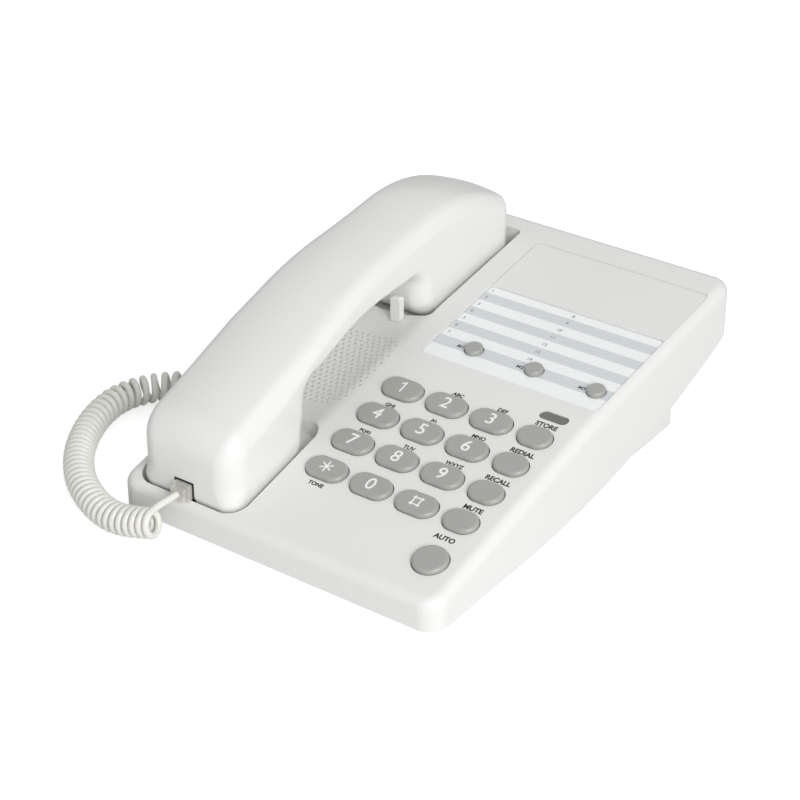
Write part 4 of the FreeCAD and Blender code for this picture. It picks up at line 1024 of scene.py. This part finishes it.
@dataclass
class CurlyCord:
    """Curly cord: a tail from the handset plug, curls along a route on the table, a tail to the base plug.

    Lengths are metres. The curls are a helix round the route's own smooth line: centre plus curl radius times
    the cosine of the turn sideways and the sine upwards.
    """

    route: tuple[Place, ...] = (
        (-0.0435, -0.1223, 0.0119),
        (-0.0555, -0.1237, 0.0084),
        (-0.0685, -0.1223, 0.0066),
        (-0.0820, -0.1171, 0.0065),
        (-0.0950, -0.1087, 0.0065),
        (-0.1065, -0.0970, 0.0065),
        (-0.1156, -0.0830, 0.0065),
        (-0.1218, -0.0680, 0.0065),
        (-0.1240, -0.0535, 0.0065),
        (-0.1196, -0.0405, 0.0065),
        (-0.1100, -0.0300, 0.0065),
        (-0.0980, -0.0235, 0.0065),
    )
    plug_back: Place = (-0.0442, -0.1085, 0.0173)
    plug_run: Place = (-0.0442, -0.1125, 0.0173)
    jack_run: tuple[Place, ...] = (
        (-0.0930, -0.0349, 0.0030),
        (-0.0860, -0.0355, 0.0086),
        (-0.0800, -0.0355, 0.0086),
    )
    # Straight runs between the curls and the two tails
    front_lead: float = 0.004
    back_lead: float = 0.006
    blend_base: Place = (-0.088, -0.118, 0.0065)
    blend_handset: Place = (-0.047, -0.118, 0.0140)
    wire: float = 0.0028
    curl_radius: float = 0.00484
    # The helix stops half a turn short of the count that its opening is worked out for
    turns: float = 43.5
    turns_full: float = 44.0
    closed_pitch: float = 0.00326
    open_pitch: float = 0.0049
    opening_from: float = 25.0
    route_share: float = 0.985
    per_turn: int = 28
    sides: int = 14
    resolution: int = 40

    def smooth_line(self, points: tuple[Place, ...]) -> np.ndarray:
        """Points read off a smooth spline with the given control points.

        Args:
            points: Control points in metres.

        Returns:
            Points along the spline, one row each.
        """
        curve = bpy.data.curves.new("cord_route", "CURVE")
        curve.dimensions = "3D"
        curve.resolution_u = self.resolution
        spline = curve.splines.new("NURBS")
        spline.points.add(len(points) - 1)
        for dot, place in zip(spline.points, points):
            dot.co = (*place, 1.0)
        spline.order_u = 3
        spline.use_endpoint_u = True
        mesh = mesh_of_curve(curve)
        spots = corners_of(mesh)
        bpy.data.meshes.remove(mesh)
        return spots

    def curls(self) -> tuple[np.ndarray, np.ndarray]:
        """Centre line of the curls and the direction from the route to it.

        The distance along the route grows by the closed pitch for each turn, and from the opening turn on by
        a pitch that rises evenly to the open one.

        Returns:
            Points of the helix and unit vectors out of its axis.
        """
        line = self.smooth_line(self.route)
        steps = np.linalg.norm(np.diff(line, axis=0), axis=1)
        reach = np.concatenate([[0.0], np.cumsum(steps)])
        turn = np.linspace(0, self.turns, int(self.turns * self.per_turn) + 1)
        late = np.clip(turn - self.opening_from, 0, None)
        opening = late ** 2 / (2 * (self.turns_full - self.opening_from))
        distance = self.closed_pitch * turn + (self.open_pitch - self.closed_pitch) * opening
        distance *= min(1.0, self.route_share * reach[-1] / distance[-1])
        centre = np.stack([np.interp(distance, reach, column) for column in line.T], axis=1)
        ahead = unit(np.gradient(centre, axis=0))
        side = unit(np.cross([0.0, 0.0, 1.0], ahead))
        up = np.cross(ahead, side)
        angle = (np.pi / 2 - 2 * np.pi * turn)[:, None]
        out = side * np.cos(angle) + up * np.sin(angle)
        return centre + out * self.curl_radius, out

    def line(self) -> tuple[np.ndarray, np.ndarray]:
        """Centre line of the whole cord, tails and curls, and a direction square to it.

        Returns:
            Points from the handset plug to the base plug, and the direction that each ring starts from.
        """
        curls, out = self.curls()
        front_turn = curls[0] + unit(curls[0] - curls[1]) * self.front_lead
        back_turn = curls[-1] + unit(curls[-1] - curls[-2]) * self.back_lead
        front = self.smooth_line((self.plug_back, self.plug_run, tuple(front_turn), tuple(curls[0])))
        back = self.smooth_line((tuple(curls[-1]), tuple(back_turn), *self.jack_run))
        path = np.concatenate([front[:-1], curls, back[1:]])
        lean = np.pad(out, ((len(front) - 1, len(back) - 1), (0, 0)), mode="edge")
        return path, lean

    def tube(self, path: np.ndarray, lean: np.ndarray) -> tuple[np.ndarray, np.ndarray]:
        """Closed tube along a line.

        Each ring is the line's point plus the wire's radius times the cosine of the turn along the lean and
        the sine across it. A fan of triangles closes each end.

        Args:
            path: Points of the line.
            lean: Directions that the rings start from.

        Returns:
            Corners and faces.
        """
        way = unit(np.gradient(path, axis=0))
        lean = unit(lean - way * np.sum(lean * way, axis=1, keepdims=True))
        across = np.cross(way, lean)
        rows, sides = len(path), self.sides
        turn = np.linspace(0, 2 * np.pi, sides, endpoint=False)[None, :, None]
        ring = lean[:, None] * np.cos(turn) + across[:, None] * np.sin(turn)
        points = (path[:, None] + ring * self.wire / 2).reshape(-1, 3)
        points = np.concatenate([points, path[:1], path[-1:]])
        here = np.arange(sides)
        following = (here + 1) % sides
        start = np.arange(rows - 1)[:, None] * sides
        corners = [start + here, start + following, start + sides + following, start + sides + here]
        wall = np.stack(corners, axis=-1).reshape(-1, 4)
        last = (rows - 1) * sides
        first_tip, last_tip = np.full(sides, rows * sides), np.full(sides, rows * sides + 1)
        start_cap = np.stack([following, here, first_tip, first_tip], axis=1)
        end_cap = np.stack([last + here, last + following, last_tip, last_tip], axis=1)
        return points, np.concatenate([wall, start_cap, end_cap])

    def build(self, frame: dict) -> bpy.types.Object:
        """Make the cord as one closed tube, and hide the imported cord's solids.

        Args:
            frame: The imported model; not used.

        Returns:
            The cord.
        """
        path, lean = self.line()
        cord = mesh_piece("handset_cord", *self.tube(path, lean), Finishes.vinyl)
        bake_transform(cord)
        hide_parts("cord_handset_tail", "handset_cord_coil", "cord_base_tail")
        return cord


@dataclass
class Housing:
    """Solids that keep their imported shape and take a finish."""

    finishes: dict[str, Finish] = field(
        default_factory=lambda: {
            "base_top_cover": Finishes.white,
            "base_bottom_cover": Finishes.white,
            "rear_stand": Finishes.white,
            "hook_plunger": Finishes.white,
            "speaker_grille": Finishes.white,
            "rubber_feet": Finishes.rubber,
            "keypad_mat": Finishes.rubber,
            "memory_mat": Finishes.rubber,
            "receiver_gasket": Finishes.rubber,
            "microphone_boot": Finishes.rubber,
            "case_screws": Finishes.steel,
            "handset_screws": Finishes.steel,
            "hook_spring": Finishes.steel,
            "keypad_board": Finishes.board,
            "line_board": Finishes.board,
            "ringer_speaker": Finishes.black,
            "receiver_capsule": Finishes.black,
            "hook_switch": Finishes.black,
            "line_jack": Finishes.black,
            "handset_jack": Finishes.black,
            "handset_socket": Finishes.black,
            "microphone": Finishes.can,
            "handset_weight": Finishes.iron,
            "message_lamp_lens": Finishes.smoke,
            "message_lamp_led": Finishes.smoke,
            "handset_plug": Finishes.plug,
            "base_plug": Finishes.plug,
        }
    )

    def build(self, frame: dict) -> None:
        """Dress every solid that is named here.

        Args:
            frame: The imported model.
        """
        for name, finish in self.finishes.items():
            dress(frame["nodes"][name], finish)
            LOG.info("dressed %s", name)


@dataclass
class Studio:
    """Pale table, soft lamps and the camera.

    Places and lengths are metres, apart from the lens and the sensor, which are millimetres.
    """

    camera_place: Place = (0.4452, -0.6431, 0.4796)
    azimuth: float = 35.75
    elevation: float = 30.31
    lens: float = 101.25
    sensor: float = 36.0
    nearest: float = 0.01
    floor_half: float = 6.0
    floor_grey: float = 0.8
    floor_glow: float = 0.6
    fill: float = 0.5
    aim: Place = (-0.02, 0.0, 0.03)
    # Name, place, side and watts
    lamps: tuple[tuple[str, Place, float, float], ...] = (
        ("key_lamp", (1.0, -0.7, 0.72), 0.7, 14.0),
        ("back_lamp", (-0.45, 0.85, 0.9), 0.9, 1.2),
    )

    def camera(self) -> None:
        """Camera at the photograph's angle."""
        data = bpy.data.cameras.new("camera")
        data.lens = self.lens
        data.sensor_width = self.sensor
        data.sensor_fit = "HORIZONTAL"
        data.clip_start = self.nearest
        made = add_object("camera", data)
        turn, lift = math.radians(self.azimuth), math.radians(self.elevation)
        back = Vector((math.sin(turn) * math.cos(lift), -math.cos(turn) * math.cos(lift), math.sin(lift)))
        right = Vector((math.cos(turn), math.sin(turn), 0))
        up = back.cross(right)
        rows = [[right[i], up[i], back[i], self.camera_place[i]] for i in range(3)]
        made.matrix_world = Matrix((*rows, (0, 0, 0, 1)))
        bpy.context.scene.camera = made

    def lamp(self, name: str, place: Place, size: float, power: float) -> None:
        """Square soft lamp aimed at the telephone.

        Args:
            name: Name of the lamp.
            place: Its place in metres.
            size: Side in metres.
            power: Watts.
        """
        data = bpy.data.lights.new(name, "AREA")
        data.size = size
        data.energy = power
        made = add_object(name, data)
        made.location = place
        made.rotation_euler = (Vector(self.aim) - Vector(place)).to_track_quat("-Z", "Y").to_euler()

    def world(self) -> None:
        """White surround for the eye and behind clear pieces, and a softer even light for the rest."""
        world = bpy.data.worlds.new("surround")
        world.use_nodes = True
        tree = world.node_tree
        tree.nodes.clear()
        path = add_node(tree, "ShaderNodeLightPath").outputs
        rays = {0: path["Is Camera Ray"], 1: path["Is Transmission Ray"]}
        seen = add_node(tree, "ShaderNodeMath", {".operation": "MAXIMUM"}, rays)
        fill = add_node(tree, "ShaderNodeBackground", {"Color": (1, 1, 1, 1), "Strength": self.fill})
        white = add_node(tree, "ShaderNodeBackground", {"Color": (1, 1, 1, 1), "Strength": 1.0})
        parts = {0: seen.outputs[0], 1: fill.outputs[0], 2: white.outputs[0]}
        mix = add_node(tree, "ShaderNodeMixShader", None, parts)
        add_node(tree, "ShaderNodeOutputWorld", None, {"Surface": mix.outputs[0]})
        bpy.context.scene.world = world

    def floor_material(self) -> bpy.types.Material:
        """Pale matt grey that shows white to the eye, because it also glows for the camera's rays.

        Returns:
            The material.
        """
        material = bpy.data.materials.new("pale_table")
        material.use_nodes = True
        tree = material.node_tree
        tree.nodes.clear()
        seen = add_node(tree, "ShaderNodeLightPath").outputs["Is Camera Ray"]
        grey = (self.floor_grey, self.floor_grey, self.floor_grey, 1)
        plain = add_node(tree, "ShaderNodeBsdfDiffuse", {"Color": grey})
        glow = add_node(tree, "ShaderNodeEmission", {"Color": (1, 1, 1, 1), "Strength": self.floor_glow})
        both = add_node(tree, "ShaderNodeAddShader", None, {0: plain.outputs[0], 1: glow.outputs[0]})
        parts = {0: seen, 1: plain.outputs[0], 2: both.outputs[0]}
        mix = add_node(tree, "ShaderNodeMixShader", None, parts)
        add_node(tree, "ShaderNodeOutputMaterial", None, {"Surface": mix.outputs[0]})
        return material

    def floor(self) -> None:
        """Pale table that shows white round the object and keeps its shadow."""
        half = self.floor_half
        corners = [(-half, -half, 0), (half, -half, 0), (half, half, 0), (-half, half, 0)]
        mesh = bpy.data.meshes.new("table")
        mesh.from_pydata(corners, [], [(0, 1, 2, 3)])
        mesh.materials.append(self.floor_material())
        add_object("table", mesh)

    def build(self) -> None:
        """Set up table, light and camera."""
        self.camera()
        self.world()
        self.floor()
        for lamp in self.lamps:
            self.lamp(*lamp)
        bpy.context.scene.view_settings.view_transform = "Standard"


def main() -> None:
    """Build every part of the scene in order and log the name of each piece."""
    logging.basicConfig(level=logging.INFO)
    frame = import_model()
    Studio().build()
    cord = CurlyCord().build(frame)
    LOG.info("made %s", cord.name)
    Housing().build(frame)
    for part in (Handset(), Keypad(), IndexCard()):
        for piece in part.build(frame):
            LOG.info("made %s", piece.name)


if __name__ == "__main__":
    main()
